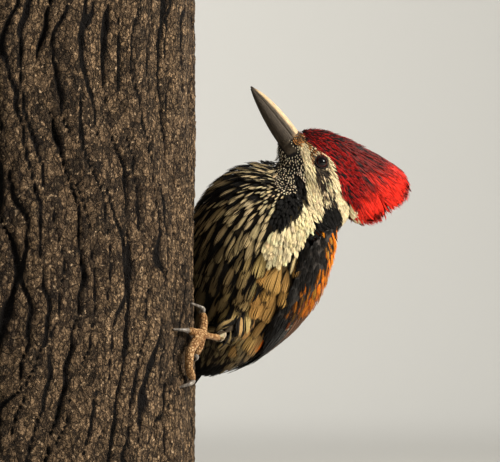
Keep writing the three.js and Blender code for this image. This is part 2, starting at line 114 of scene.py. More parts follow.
def start_material(name, roughness=0.6):
    """A new finish: the material, its tree, its shader and the object's own coordinates."""
    made = bpy.data.materials.new(name)
    made.use_nodes = True
    tree = made.node_tree
    skin = tree.nodes["Principled BSDF"]
    skin.inputs["Roughness"].default_value = roughness
    place = tree.nodes.new("ShaderNodeTexCoord").outputs["Object"]
    return made, tree, skin, place


def raise_surface(tree, skin, height, depth, strength=1.0):
    """Lets a height stand up from the surface by a depth in metres."""
    made = tree.nodes.new("ShaderNodeBump")
    made.inputs["Distance"].default_value = depth
    made.inputs["Strength"].default_value = strength
    tree.links.new(height, made.inputs["Height"])
    tree.links.new(made.outputs[0], skin.inputs["Normal"])


def add_object(name, mesh, *materials, smooth=True):
    """Puts a mesh in the scene as an object at the origin, with its materials."""
    made = bpy.data.objects.new(name, mesh)
    bpy.context.scene.collection.objects.link(made)
    for material in materials:
        mesh.materials.append(material)
    if smooth:
        mesh.polygons.foreach_set("use_smooth", [True] * len(mesh.polygons))
    return made


def base_mesh(low, high):
    """The slab's outline at five heights: the foot's chamfer, the wall, and two steps of the eased edge."""
    shape = bmesh.new()
    rings = []
    for z, inset in (
        (low[2], FOOT_CHAMFER),
        (low[2] + FOOT_CHAMFER, 0),
        (high[2] - BASE_EASE, 0),
        (high[2] - BASE_EASE * 0.3, BASE_EASE * 0.3),
        (high[2], BASE_EASE),
    ):
        radius = BASE_CORNER - inset
        ring = []
        for corner in range(4):
            x = high[0] - BASE_CORNER if corner in (0, 3) else low[0] + BASE_CORNER
            y = high[1] - BASE_CORNER if corner in (0, 1) else low[1] + BASE_CORNER
            for step in range(CORNER_STEPS + 1):
                angle = (corner + step / CORNER_STEPS) * math.pi / 2
                ring.append(
                    shape.verts.new((x + radius * math.cos(angle), y + radius * math.sin(angle), z))
                )
        rings.append(ring)
    for lower, upper in zip(rings, rings[1:]):
        for i, corner in enumerate(lower):
            j = (i + 1) % len(lower)
            shape.faces.new((corner, lower[j], upper[j], upper[i]))
    shape.faces.new(rings[0][::-1])
    shape.faces.new(rings[-1])
    mesh = bpy.data.meshes.new("stand_base_board")
    shape.to_mesh(mesh)
    shape.free()
    return mesh


paint, tree, skin, place = start_material("charcoal_paint")
mottle = grain(tree, place, 60)
feed(tree, skin.inputs["Base Color"], mixed(tree, mottle, shade(38, 38, 40), shade(50, 50, 51)))
feed(tree, skin.inputs["Roughness"], ramp(tree, grain(tree, place, 25), 0.3, 0.7, 0.38, 0.5))
raise_surface(tree, skin, grain(tree, place, 900, 2), 0.00006)
base = add_object("stand_base_board", base_mesh(*[Vector(c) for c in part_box("stand_base")]), paint)
for polygon in base.data.polygons:
    polygon.use_smooth = len(polygon.vertices) == 4
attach(base, "root")
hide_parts("stand_base")

# ---- Display rods -------------------------------------------------------------------
# Two short rods of turned steel hold the cut trunk up from the base. Their finish is
# the fine brushing that the lathe leaves round them.

steel, tree, skin, place = start_material("brushed_steel")
skin.inputs["Metallic"].default_value = 1.0
brushing = grain(tree, place, 500, 2, (0.15, 0.15, 3))
feed(tree, skin.inputs["Base Color"], mixed(tree, brushing, shade(150, 150, 150), shade(190, 189, 186)))
feed(tree, skin.inputs["Roughness"], ramp(tree, brushing, 0.3, 0.7, 0.28, 0.42))
raise_surface(tree, skin, brushing, 0.00004)
for name in ("stand_rod_1", "stand_rod_2"):
    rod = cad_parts[name]
    rod.data.materials.clear()
    rod.data.materials.append(steel)

# ---- Cut trunk ----------------------------------------------------------------------
# A short length of a living trunk with its bark on, sawn square at both ends. The bark
# stands in upright plates with fissures between them and a fine flaky crust. The
# fissures are painted near black: painted shade in their depth.

TRUNK_RADIUS = 85.0
TRUNK_WAVE = 1.4
AROUND = 400
COURSES = 215
END_RINGS = 13
PLATES_ROUND = 16
PLATE_RIDGE = 1.1
PLATE_SWAY = 1.8
SWAY_LENGTH = 34
FISSURE_DEPTH = 3.0
CRACK_DEPTH = 1.7
CRUST_RISE = 0.7
BARK_INSET = 0.2
SAW_MARK = 0.25
CAD_SHIFT = np.array([34.978, 0, 0])  # from the measures here, in mm, to the frame's own place
TRUNK_AXIS_X = -TRUNK_RADIUS - TRUNK_WAVE + CAD_SHIFT[0]
trunk_low, trunk_high = [np.array(c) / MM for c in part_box("perch_log")]


def bark_radius(angle, z):
    """The trunk's own radius with its plates standing up, before fissures are cut."""
    plates = PLATE_RIDGE * math.sin(PLATES_ROUND * angle + PLATE_SWAY * math.sin(z / SWAY_LENGTH))
    return TRUNK_RADIUS + plates + TRUNK_WAVE * math.sin(3 * angle + z / 120)


def opening(angle, z, turn, wide, seed):
    """How deep one set of upright fissures is cut here: they sway, widen and close again along the trunk."""
    x, y = math.cos(angle), math.sin(angle)
    sway = 1.1 * noise.noise(Vector((x * 5 + seed, y * 5, z / 38)))
    sway += 0.5 * noise.noise(Vector((x * 9, y * 9 + seed, z / 13)))
    phase = (PLATES_ROUND * angle + PLATE_SWAY * math.sin(z / SWAY_LENGTH) + turn + sway) % (2 * math.pi)
    off = abs(phase - math.pi) / PLATES_ROUND * TRUNK_RADIUS
    wide = wide * (0.75 + 1.6 * noise.noise(Vector((x * 7, y * 7 + seed, z / 30 + seed))))
    return max(0, 1 - off / max(wide, 0.3)) ** 0.8 if wide > 0.3 else 0


def fissure(angle, z, radius):
    """How deep the bark is cut here by wide fissures and by hair cracks, out of 1, and its crust."""
    x, y = radius * math.cos(angle), radius * math.sin(angle)
    cut = opening(angle, z, -math.pi / 2, 1.9, 0)
    hair = max(
        opening(angle, z, *crack) for crack in ((math.pi / 2, 1.2, 5), (0.3, 0.9, 11), (3.3, 0.9, 17))
    )
    crust = noise.noise(Vector((x / 2.2, y / 2.2, z / 4.6)))
    crust += 0.7 * noise.noise(Vector((x / 1.3, y / 1.3, z / 2)))
    return cut, hair, crust


def trunk_mesh():
    """The trunk's bark, with how deeply it is cut at each point (for the painted shade in its fissures) and
    its crust, closed by two sawn ends; and how many faces are bark.
    """
    bottom, top = trunk_low[2], trunk_high[2]
    points, wear_and_fissure_shade = [], []
    for course in range(COURSES + 1):
        z = bottom + (top - bottom) * course / COURSES
        for step in range(AROUND):
            angle = 2 * math.pi * step / AROUND
            radius = bark_radius(angle, z)
            cut, hair, crust = fissure(angle, z, radius)
            out = radius - BARK_INSET - FISSURE_DEPTH * cut - CRACK_DEPTH * hair + CRUST_RISE * crust
            points.append((TRUNK_AXIS_X + out * math.cos(angle), out * math.sin(angle), z))
            wear_and_fissure_shade.append((cut, hair, 0.5 + 0.4 * crust, 1))
    faces = []
    for course in range(COURSES):
        for step in range(AROUND):
            nxt = (step + 1) % AROUND
            a, b = course * AROUND, (course + 1) * AROUND
            faces.append((a + step, a + nxt, b + nxt, b + step))
    bark_faces = len(faces)
    for end in (0, 1):
        rim = end * COURSES * AROUND
        z = top if end else bottom
        inner = rim
        for ring in range(1, END_RINGS):
            share = 1 - ring / END_RINGS
            first = len(points)
            for step in range(AROUND):
                x, y, _ = points[rim + step]
                chip = SAW_MARK * noise.noise(Vector((x / 3, y / 3, end)))
                inset = (chip - SAW_MARK) * (1 if end else -1)
                points.append((TRUNK_AXIS_X + (x - TRUNK_AXIS_X) * share, y * share, z + inset))
                wear_and_fissure_shade.append((0, 0, 0.5, 1))
            for step in range(AROUND):
                nxt = (step + 1) % AROUND
                quad = (inner + step, inner + nxt, first + nxt, first + step)
                faces.append(quad if end else quad[::-1])
            inner = first
        points.append((TRUNK_AXIS_X, 0, z - (SAW_MARK if end else -SAW_MARK)))
        wear_and_fissure_shade.append((0, 0, 0.5, 1))
        for step in range(AROUND):
            tri = (inner + step, inner + (step + 1) % AROUND, len(points) - 1)
            faces.append(tri if end else tri[::-1])
    mesh = bpy.data.meshes.new("perch_trunk")
    mesh.from_pydata([[c * MM for c in p] for p in points], [], faces)
    mesh.attributes.new("wear_and_fissure_shade", "FLOAT_COLOR", "POINT").data.foreach_set(
        "color", np.array(wear_and_fissure_shade, float).ravel()
    )
    return mesh, bark_faces


def named(tree, name, output="Color"):
    """An attribute of the mesh, by its name."""
    made = tree.nodes.new("ShaderNodeAttribute")
    made.attribute_name = name
    return made.outputs[output]


def split(tree, source):
    """The three parts of a vector."""
    made = tree.nodes.new("ShaderNodeSeparateXYZ")
    tree.links.new(source, made.inputs[0])
    return made.outputs


def flakes(tree, place, scale, stretch):
    """Cells of flaking crust with wandering edges: a tone for each, and the dark gaps between them."""
    mapping = tree.nodes.new("ShaderNodeMapping")
    mapping.inputs["Scale"].default_value = stretch
    wander = tree.nodes.new("ShaderNodeTexNoise")
    wander.inputs["Scale"].default_value = scale * 1.3
    tree.links.new(place, wander.inputs["Vector"])
    shift = tree.nodes.new("ShaderNodeVectorMath")
    shift.operation = "MULTIPLY_ADD"
    shift.inputs[1].default_value = (1.1 / scale,) * 3
    tree.links.new(wander.outputs["Color"], shift.inputs[0])
    tree.links.new(place, shift.inputs[2])
    tree.links.new(shift.outputs[0], mapping.inputs["Vector"])
    cells = []
    for feature in ("F1", "DISTANCE_TO_EDGE"):
        made = tree.nodes.new("ShaderNodeTexVoronoi")
        made.feature = feature
        made.inputs["Scale"].default_value = scale
        tree.links.new(mapping.outputs[0], made.inputs["Vector"])
        cells.append(made)
    edges = ramp(tree, cells[1].outputs["Distance"], 0.0, 0.13, 1.0, 0.0)
    return split(tree, cells[0].outputs["Color"])[0], edges


bark, tree, skin, place = start_material("bark", 0.9)
skin.inputs["Specular IOR Level"].default_value = 0.15
cut, hair, crust = split(tree, named(tree, "wear_and_fissure_shade"))
broad = ramp(tree, grain(tree, place, 30, 3, (1, 1, 0.4)), 0.4, 0.6)
plates = mixed(tree, broad, shade(70, 58, 44), shade(136, 112, 84))
plates = mixed(tree, ramp(tree, grain(tree, place, 60, 2), 0.52, 0.7), plates, shade(78, 66, 52))
plates = mixed(tree, ramp(tree, crust, 0.52, 0.85), plates, shade(142, 115, 86))
fleck = grain(tree, place, 640, 3, (1, 1, 0.6), 0.7)
plates = mixed(tree, ramp(tree, fleck, 0.44, 0.56), mixed(tree, 0.84, plates, shade(22, 17, 13)), plates)
flake, rift = flakes(tree, place, 330, (1, 1, 0.5))
scale_tone, crack = flakes(tree, place, 760, (1, 1, 0.7))
plates = mixed(tree, ramp(tree, flake, 0.25, 0.75, 0.0, 0.55), plates, shade(152, 125, 96))
plates = mixed(tree, ramp(tree, scale_tone, 0.1, 0.9, 0.6, 0.0), plates, shade(40, 30, 23))
rift = figure(tree, "MAXIMUM", rift, figure(tree, "MULTIPLY", crack, 0.6))
plates = mixed(tree, figure(tree, "MULTIPLY", rift, 0.85), plates, shade(16, 11, 9))
plates = mixed(tree, ramp(tree, grain(tree, place, 460, 2), 0.62, 0.74), plates, shade(176, 150, 120))
# Fissures and hair cracks are painted near black where they are cut deep: painted shade in their depth.
fissure_shade_mask = figure(tree, "MAXIMUM", cut, hair)
colour = mixed(tree, ramp(tree, fissure_shade_mask, 0.05, 0.5), plates, shade(9, 6, 5))
feed(tree, skin.inputs["Base Color"], colour)
feed(tree, skin.inputs["Roughness"], ramp(tree, fleck, 0.3, 0.7, 0.95, 0.82))
rough = figure(tree, "ADD", fleck, figure(tree, "MULTIPLY", grain(tree, place, 260, 3, (1, 1, 0.4)), 1.2))
rough = figure(tree, "ADD", rough, figure(tree, "MULTIPLY", flake, 0.8))
raise_surface(tree, skin, figure(tree, "SUBTRACT", rough, rift), 0.0011)

sawn, tree, skin, place = start_material("sawn_wood", 0.75)
x, y, _ = split(tree, place)
across = figure(tree, "SUBTRACT", x, float(TRUNK_AXIS_X * MM))
spread = figure(tree, "ADD", figure(tree, "MULTIPLY", across, across), figure(tree, "MULTIPLY", y, y))
spread = figure(tree, "SQRT", spread)
wobble = figure(tree, "MULTIPLY", grain(tree, place, 30, 2), 0.012)
rings = figure(tree, "SINE", figure(tree, "MULTIPLY", figure(tree, "ADD", spread, wobble), 2300.0))
wood = mixed(tree, ramp(tree, rings, -0.6, 1.0), shade(196, 160, 116), shade(156, 116, 76))
wood = mixed(tree, ramp(tree, spread, 0.02, 0.05), mixed(tree, 0.5, wood, shade(120, 80, 48)), wood)
wood = mixed(tree, ramp(tree, spread, 0.0765, 0.0785), wood, shade(70, 50, 36))
wood = mixed(tree, ramp(tree, grain(tree, place, 700, 2), 0.4, 0.7), wood, shade(112, 86, 60))
feed(tree, skin.inputs["Base Color"], wood)
feed(tree, skin.inputs["Roughness"], ramp(tree, rings, -1, 1, 0.7, 0.85))
raise_surface(tree, skin, grain(tree, place, 900, 2), 0.0004)

mesh, bark_faces = trunk_mesh()
trunk = add_object("perch_trunk", mesh, bark, sawn)
mesh.polygons.foreach_set("material_index", [0] * bark_faces + [1] * (len(mesh.polygons) - bark_faces))
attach(trunk, "root")
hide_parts("perch_log")

# ---- Skin ---------------------------------------------------------------------------
# One skin covers head, neck, body, thighs, shanks and toes. It lies under the plumage
# by the feathers' depth, bare only on the legs and round the eyes, where it folds
# into lids; it is coloured as the feathers over it are.

BODY_LINE = [  # along the body from the breast's dome: centre x, y, z, half width, to the back, to the belly
    (0, 40, 41, 219, 34, 33, 36),
    (37, 33, 46, 183, 35, 34, 37),
    (59, 25, 54, 164, 35, 34, 36),
    (80, 17, 59, 146, 29, 26.5, 28),
    (100, 9.5, 61.5, 129, 19.5, 15, 17.5),
    (112, 3, 63, 119, 14, 8, 8),
    (135, -14, 69, 105, 12, 4.5, 3),
    (165, -36, 77.5, 86, 12, 3.2, 3),
]
FACING = math.radians(45)
BILL_BASE = np.array([46.5, 36, 228.5]) + CAD_SHIFT
BILL_TILT = math.radians(53.6)
BILL_TURN = -0.12
HEAD_ROLL = math.radians(22)
EYE_PLACE = (16.8, 10, 3.4)
EYE_RADIUS = 3.6
LID_RADIUS = 3.16
LID_THICKNESS = 0.15
LID_LIFT = 1.9
FLESH = [
    "head", "neck", "torso", "thigh_left", "thigh_right", "tarsus_left", "tarsus_right", "foot_left",
    "foot_right"
]


def unit(vectors):
    """Vectors brought to a length of one."""
    return vectors / np.maximum(np.linalg.norm(vectors, axis=-1, keepdims=True), 1e-9)


def eased(value, low, high):
    """0 below low and 1 above high, with a smooth rise between them."""
    t = np.clip((value - low) / (high - low), 0, 1)
    return t * t * (3 - 2 * t)


def on_line(at, column):
    """One of the body line's sizes at distances along it, on a smooth curve."""
    line = np.array(BODY_LINE, float)
    line[:, 1] += CAD_SHIFT[0]
    x, y = line[:, 0], line[:, column]
    last = len(x) - 1
    before, after = np.maximum(np.arange(len(x)) - 1, 0), np.minimum(np.arange(len(x)) + 1, last)
    slopes = (y[after] - y[before]) / (x[after] - x[before])
    i = np.clip(np.searchsorted(x, at) - 1, 0, last - 1)
    span, rise = x[i + 1] - x[i], y[i + 1] - y[i]
    t = np.clip((at - x[i]) / span, 0, 1)
    start, end = slopes[i] * span, slopes[i + 1] * span
    return y[i] + t * (start + t * (3 * rise - 2 * start - end + t * (start + end - 2 * rise)))


line_at = np.linspace(-20, 165, 371)
line_points = np.stack([on_line(line_at, k) for k in (1, 2, 3)], 1)
before = np.minimum(line_at, 0)[:, None]
line_points += before * (line_points[45] - line_points[40]) / (line_at[45] - line_at[40])
line_way = unit(np.gradient(line_points, axis=0))
line_left = -unit(np.cross([math.sin(FACING), math.cos(FACING), 0], line_way))
line_back = np.cross(line_way, -line_left)


def along_body(points):
    """How far along the body line points lie, and their angle round it: 0 left, 90 back, -90 belly."""
    chunks = np.array_split(points, max(1, len(points) // 2000))
    nearest = np.concatenate([((chunk[:, None] - line_points) ** 2).sum(-1).argmin(1) for chunk in chunks])
    out = points - line_points[nearest]
    angle = np.degrees(np.arctan2((out * line_back[nearest]).sum(1), (out * line_left[nearest]).sum(1)))
    return line_at[nearest], angle, line_way[nearest]


head_ahead = unit(np.array([-math.cos(BILL_TILT), BILL_TURN, math.sin(BILL_TILT)]))
level_left = unit(np.cross([math.sin(BILL_TILT), 0, math.cos(BILL_TILT)], head_ahead))
level_up = np.cross(head_ahead, level_left)
head_left = level_left * math.cos(HEAD_ROLL) + level_up * math.sin(HEAD_ROLL)
head_up = np.cross(head_ahead, head_left)


def on_head(back, left, up):
    """The place this far back from the bill's base, out to the left and up."""
    return BILL_BASE - back * head_ahead + left * head_left + up * head_up


def along_head(points):
    """How far back from the bill's base, out to the left, and up points lie, and their level on the cheek."""
    out = points - BILL_BASE
    back, left, up = -out @ head_ahead, out @ head_left, out @ head_up
    return back, left, up, up * math.cos(HEAD_ROLL) + np.abs(left) * math.sin(HEAD_ROLL)


def eye_centre(side):
    return on_head(EYE_PLACE[0], side * EYE_PLACE[1], EYE_PLACE[2])


def eye_axis(side):
    """The way an eye looks: out to its side and a little ahead and up."""
    return unit(head_left * side + head_ahead * 0.16 + head_up * 0.05)


def from_eyes(points):
    """How far points lie from the middle of the nearer eye."""
    return np.minimum(*[np.linalg.norm(points - eye_centre(side), axis=1) for side in (-1, 1)])


def from_feet(points):
    """How far points lie from the nearer foot."""
    return np.minimum(*[np.linalg.norm(points - foot, axis=1) for foot in FEET])


def near_line(x, y, line):
    """How far points lie outside a stripe drawn through (x, y, half width) stations."""
    best = np.full(len(x), 1e9)
    for (ax, ay, ah), (bx, by, bh) in zip(line, line[1:]):
        t = np.clip(((x - ax) * (bx - ax) + (y - ay) * (by - ay)) / ((bx - ax) ** 2 + (by - ay) ** 2), 0, 1)
        best = np.minimum(
            best, np.hypot(x - ax - t * (bx - ax), y - ay - t * (by - ay)) - ah - t * (bh - ah)
        )
    return best


def near_beads(points, beads):
    """How far points lie outside a chain of balls (x, y, z, radius), blended from each to the next."""
    best = np.full(len(points), 1e9)
    for a, b in zip(beads, beads[1:] if len(beads) > 1 else beads):
        a, b = np.array(a, float), np.array(b, float)
        run = b[:3] - a[:3]
        t = np.clip(((points - a[:3] - CAD_SHIFT) @ run) / max(run @ run, 1e-9), 0, 1)
        gap = np.linalg.norm(points - a[:3] - CAD_SHIFT - t[:, None] * run, axis=1)
        best = np.minimum(best, gap - a[3] - t * (b[3] - a[3]))
    return best


CHEEK_STRIPE = [
    (0, 5.5, 1.6), (5.3, 4.6, 1.9), (12.2, 2.0, 2.1), (17, -0.3, 2.4), (22, -2.9, 2.9), (27, -5.4, 3.4),
    (31, -8, 3.2)
]
CROWN_EDGE = [
    (-4, 6.6), (0, 7.0), (4, 8.0), (12.2, 10.9), (15, 12.3), (18, 12.2), (22.5, 10.7), (30, 8.5), (37, 7.6),
    (43.6, 7.0), (49.5, 6.8), (66, 6.6)
]
BROW_STRIPE = [
    (13, 11.3, 1.1), (18, 10.5, 1.6), (22.5, 8.9, 1.8), (30, 6.8, 2.0), (36, 5.3, 2.5), (41, 4.0, 3.1),
    (47.4, 3.2, 3.7), (54, 4.2, 3)
]
NECK_WHITE = [(56.5, 24, 198, 3.6), (54, 22, 190.5, 5.6), (49.5, 16, 184, 6.2), (43, 12, 178, 7.3)]
THROAT_SPOTS = [(46, 28, 215, 5.5), (46.5, 22, 209, 5.5), (49, 22, 205.5, 5.5)]
THROAT_BLACK = [(52, 20, 201, 5), (48, 17, 198, 6.5), (43, 13, 190, 3.5)]
FEET = np.array([(6, -10, 130), (-26, 77, 126)]) + CAD_SHIFT
THIGHS = [[(24, 44, 141, 10), (14, 10, 133, 4)], [(0, 69, 138, 10), (-10, 84, 126, 4)]]
PLACES = [
    "cream", "puff", "brow", "crown", "ear", "throat", "black", "breast", "belly", "flank", "vent",
    "mantle", "rump", "thigh", "leg", "bare"
]
BLACK = shade(17, 15, 14)


def markings(points, labels):
    """Which part of the plumage each point belongs to, from the node nearest to it and its place there."""
    back, left, up, level = along_head(points)
    at, angle, _ = along_body(points)
    half = np.where(angle > 90, 180 - angle, np.where(angle < -90, -180 - angle, angle))
    ragged = np.array([1.3 * noise.noise(Vector(p / 2.2)) for p in points])
    place = np.full(len(points), PLACES.index("breast"))
    on_skull = np.isin(labels, ("head", "crest"))

    def mark(where, name):
        place[where] = PLACES.index(name)

    mark(at > 33 + ragged, "belly")
    mark((at > 33) & (half > -33 + ragged * 3) & (at < 93), "flank")
    mark(at > 88 + 2 * ragged, "vent")
    mark((half > 8 + ragged * 4) & (at > 12) & (at < 88), "mantle")
    mark(at > 103 + 2 * ragged, "rump")
    mark((at > 84 + 2 * ragged) & (half > 25 + 1.6 * (at - 84).clip(0, 18)), "rump")
    mark((near_beads(points, THROAT_SPOTS) < ragged) & (at < 20), "throat")
    mark((near_beads(points, THROAT_BLACK) < ragged) & (at < 45), "black")
    neck = (labels == "neck") | ((at < 30) & (half > -2) & ~on_skull)
    mark(neck & (half > -12) & (at < 27), "black")
    white = near_beads(points, NECK_WHITE)
    mirror = points - 2 * ((points - line_points[80]) @ line_left[80])[:, None] * line_left[80]
    far_side = (angle < -110) | (angle > 100)
    white = np.where(far_side & (at > 14), near_beads(mirror, NECK_WHITE), white)
    mark((white < ragged * 0.7) & ~on_skull, "puff")
    throat = (labels == "neck") & (level < -12) & (level > -17.5) & (back < 27)
    mark(throat, "throat")
    cheek, brow = near_line(back, level, CHEEK_STRIPE), near_line(back, level, BROW_STRIPE)
    cheek_level, brow_level, crown_level = (
        np.interp(back, [s[0] for s in stripe], [s[1] for s in stripe])
        for stripe in (CHEEK_STRIPE, BROW_STRIPE, CROWN_EDGE)
    )
    mark(on_skull & (level < cheek_level), "throat")
    mark(on_skull & (level >= cheek_level), "ear")
    mark(on_skull & (level >= cheek_level) & (back < 14.5), "brow")
    mark(on_skull & (np.minimum(cheek, brow) < 0.3 * ragged), "cream")
    mark(on_skull & (level >= crown_level + 0.5 * ragged), "crown")
    mark(on_skull & (np.hypot(back - 0.3, level - 5.4) < 2.8 + 0.6 * ragged), "brow")
    mark((labels == "neck") & (cheek < 0.35 * ragged) & (back < 40), "cream")
    mark((labels == "neck") & (brow < 0.3 * ragged) & (back > 34) & (np.abs(left) > 5), "cream")
    mark(on_skull & (back > 39.5 + ragged) & (level < brow_level) & (np.minimum(cheek, brow) > 0), "black")
    mark(on_skull & (back < 3.8 + 0.25 * (level + 4.7)) & (level > -4.0) & (level < 1.3), "bare")
    mark(np.char.startswith(labels, "thigh"), "thigh")
    high = from_feet(points) > 23 + 2 * ragged
    mark(np.char.startswith(labels, "thigh") & high, "belly")
    mark(np.char.startswith(labels, "tarsus") | np.char.startswith(labels, "foot"), "leg")
    return place


def joined(name, nodes, swell=0.0004):
    """The nodes' own meshes in one, each swollen a little so that the gaps between them close."""
    whole = bmesh.new()
    for node in nodes:
        piece = bmesh.new()
        piece.from_mesh(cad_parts[node].data)
        bmesh.ops.remove_doubles(piece, verts=piece.verts, dist=1e-5)
        bmesh.ops.recalc_face_normals(piece, faces=piece.faces)
        piece.normal_update()
        full = node.startswith(("head", "neck", "torso", "thigh", "wing"))
        moves = [v.normal * (swell if full else swell / 2) for v in piece.verts]
        for v, move in zip(piece.verts, moves):
            v.co += move
        part = bpy.data.meshes.new("part")
        piece.to_mesh(part)
        piece.free()
        whole.from_mesh(part)
        bpy.data.meshes.remove(part)
    mesh = bpy.data.meshes.new(name)
    whole.to_mesh(mesh)
    whole.free()
    return mesh


def plain_copy(ob, name):
    """The object's mesh with its modifiers applied; the object itself goes."""
    made = bpy.data.meshes.new_from_object(ob.evaluated_get(bpy.context.evaluated_depsgraph_get()))
    made.name = name
    bpy.data.objects.remove(ob)
    return made


def remeshed(name, mesh, voxel):
    ob = add_object(name, mesh, smooth=False)
    modifier = ob.modifiers.new("Remesh", "REMESH")
    modifier.mode = "VOXEL"
    modifier.voxel_size = voxel
    return plain_copy(ob, name)


def corners_of(mesh):
    out = np.empty(len(mesh.vertices) * 3)
    mesh.vertices.foreach_get("co", out)
    return out.reshape(-1, 3)


def normals_of(mesh):
    out = np.empty(len(mesh.vertices) * 3, np.float32)
    mesh.vertex_normals.foreach_get("vector", out)
    return out.reshape(-1, 3).astype(float)


def settle(mesh, values, rounds, share=0.5):
    """Evens values over the mesh by averaging each vertex with its neighbours."""
    edges = np.empty(len(mesh.edges) * 2, int)
    mesh.edges.foreach_get("vertices", edges)
    a, b = edges.reshape(-1, 2).T
    count = np.bincount(np.concatenate([a, b]), minlength=len(mesh.vertices)).clip(1)
    values = values.reshape(len(mesh.vertices), -1)
    share = np.broadcast_to(share, len(mesh.vertices))[:, None]
    for _ in range(rounds):
        sums = [np.bincount(a, v[b], len(count)) + np.bincount(b, v[a], len(count)) for v in values.T]
        values = values + share * (np.stack([total / count for total in sums], 1) - values)
    return values


def tree_of(mesh):
    faces = [tuple(p.vertices) for p in mesh.polygons]
    return BVHTree.FromPolygons([Vector(c) for c in corners_of(mesh) / MM], faces)


def nearest_nodes(points, nodes):
    """The name of the node whose surface is nearest to each point."""
    trees = [tree_of(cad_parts[n].data) for n in nodes]
    gaps = np.array([[t.find_nearest(Vector(p), 60)[3] or 99 for t in trees] for p in points])
    return np.array(nodes)[gaps.argmin(1)]


def ring_mesh(mesh, centre, axis, wide, thick, lift):
    """Adds a lid's fold, a rounded ring about an axis, to a mesh of flesh."""
    side = unit(np.cross(axis, head_ahead))
    other = np.cross(axis, side)
    points, faces = [], []
    for i in range(40):
        a = i / 40 * 2 * math.pi
        out = side * math.cos(a) * 0.97 + other * math.sin(a) * 1.08
        for j in range(10):
            b = j / 10 * 2 * math.pi
            points.append(
                (centre + axis * (lift + thick * math.sin(b)) + out * (wide + thick * 1.3 * math.cos(b)))
                * MM
            )
            faces.append(
                (i * 10 + j, i * 10 + (j + 1) % 10, (i + 1) % 40 * 10 + (j + 1) % 10, (i + 1) % 40 * 10 + j)
            )
    whole = bmesh.new()
    whole.from_mesh(mesh)
    made = [whole.verts.new(p) for p in points]
    for face in faces:
        whole.faces.new([made[i] for i in face])
    whole.to_mesh(mesh)
    whole.free()


def near_thigh(points):
    """How much a thigh is blended into the belly here, from 0 to 0.6."""
    gaps = [near_beads(points, thigh) for thigh in THIGHS]
    return 0.6 * np.clip(1 - np.minimum(*gaps) / 7, 0, 1)


flesh = joined("skin", FLESH)
flesh = remeshed("skin", flesh, 0.0007)
labels = nearest_nodes(corners_of(flesh) / MM, FLESH)
bare = np.char.startswith(labels, "foot") | np.char.startswith(labels, "tarsus")
shape = settle(flesh, corners_of(flesh), 3, np.where(bare, 0.35, 0.6))
shape = settle(flesh, shape, 60, np.where(bare, 0, near_thigh(shape / MM)))
flesh.vertices.foreach_set("co", shape.ravel())
flesh.update()
COAT_DEPTHS = {"head": 1.3, "neck": 2.4, "torso": 3.2, "foot_left": -0.3, "foot_right": -0.3}
depth = np.array([COAT_DEPTHS.get(n, 0.12) for n in labels])
under_trousers = np.interp(from_feet(shape / MM), (15, 25), (1.2, 4.4))
depth = np.where(np.char.startswith(labels, "thigh"), under_trousers, depth)
depth = np.where((labels == "head") & (along_head(shape / MM)[0] < 8), 0.8, depth)
depth = np.where((labels == "head") & (from_eyes(shape / MM) < 6.5), 0.7, depth)
depth = settle(flesh, depth, 14)[:, 0]
depth = np.where(markings(shape / MM, labels) == PLACES.index("bare"), 1.1, depth)
depth = settle(flesh, depth, 2)[:, 0]
shape = shape - normals_of(flesh) * depth[:, None] * MM
shape = settle(flesh, shape, 4, np.where(bare, 0, 0.6))
flesh.vertices.foreach_set("co", shape.ravel())
flesh.update()
for side in (-1, 1):
    ring_mesh(flesh, eye_centre(side), eye_axis(side), LID_RADIUS, LID_THICKNESS, LID_LIFT)
labels = np.concatenate([labels, np.repeat("head", len(flesh.vertices) - len(labels))])
shape = corners_of(flesh)

SKIN_TINTS = {
    "cream": shade(206, 186, 146),
    "puff": shade(206, 186, 146),
    "brow": shade(84, 68, 52),
    "crown": shade(86, 16, 16),
    "ear": shade(96, 84, 68),
    "throat": BLACK,
    "black": BLACK,
    "breast": shade(44, 36, 28),
    "belly": shade(60, 50, 36),
    "flank": shade(104, 84, 52),
    "vent": shade(72, 60, 46),
    "mantle": shade(120, 50, 14),
    "rump": BLACK,
    "thigh": shade(124, 104, 72),
    "leg": shade(178, 144, 102),
    "bare": shade(70, 61, 49),
}
place_of = markings(shape / MM, labels)
tints = np.array([SKIN_TINTS[n] for n in PLACES])[place_of]
tints = np.where(((from_eyes(shape / MM) < 4.4) & (labels == "head"))[:, None], shade(26, 20, 19), tints)
flesh.attributes.new("tint", "FLOAT_COLOR", "POINT").data.foreach_set("color", tints.ravel())
scaly = settle(flesh, (place_of == PLACES.index("leg")).astype(float), 3)[:, 0]
flesh.attributes.new("scaly", "FLOAT", "POINT").data.foreach_set("value", scaly)

hide, tree, skin, place = start_material("bare_skin", 0.55)
scutes = tree.nodes.new("ShaderNodeTexVoronoi")
scutes.feature = "DISTANCE_TO_EDGE"
scutes.inputs["Scale"].default_value = 620
tree.links.new(place, scutes.inputs["Vector"])
plates = ramp(tree, scutes.outputs["Distance"], 0.02, 0.2)
is_scaly = named(tree, "scaly", "Fac")
creases = mixed(tree, plates, shade(176, 152, 126), shade(255, 255, 255))
creases = mixed(
    tree, ramp(tree, grain(tree, place, 300, 2), 0.4, 0.65), creases, shade(206, 190, 170), "MULTIPLY"
)
wear_and_fissure_shade = ramp(tree, grain(tree, place, 700, 3, (0.4, 1, 0.4)), 0.35, 0.65)
weathered = mixed(tree, wear_and_fissure_shade, shade(170, 164, 156), shade(255, 255, 255))
weathered = mixed(tree, 1.0, named(tree, "tint"), weathered, "MULTIPLY")
coloured = mixed(tree, is_scaly, weathered, mixed(tree, 1.0, named(tree, "tint"), creases, "MULTIPLY"))
feed(tree, skin.inputs["Base Color"], coloured)
feed(tree, skin.inputs["Roughness"], ramp(tree, plates, 0, 1, 0.75, 0.5))
wrinkles = figure(tree, "MULTIPLY", grain(tree, place, 1500, 2), 0.1)
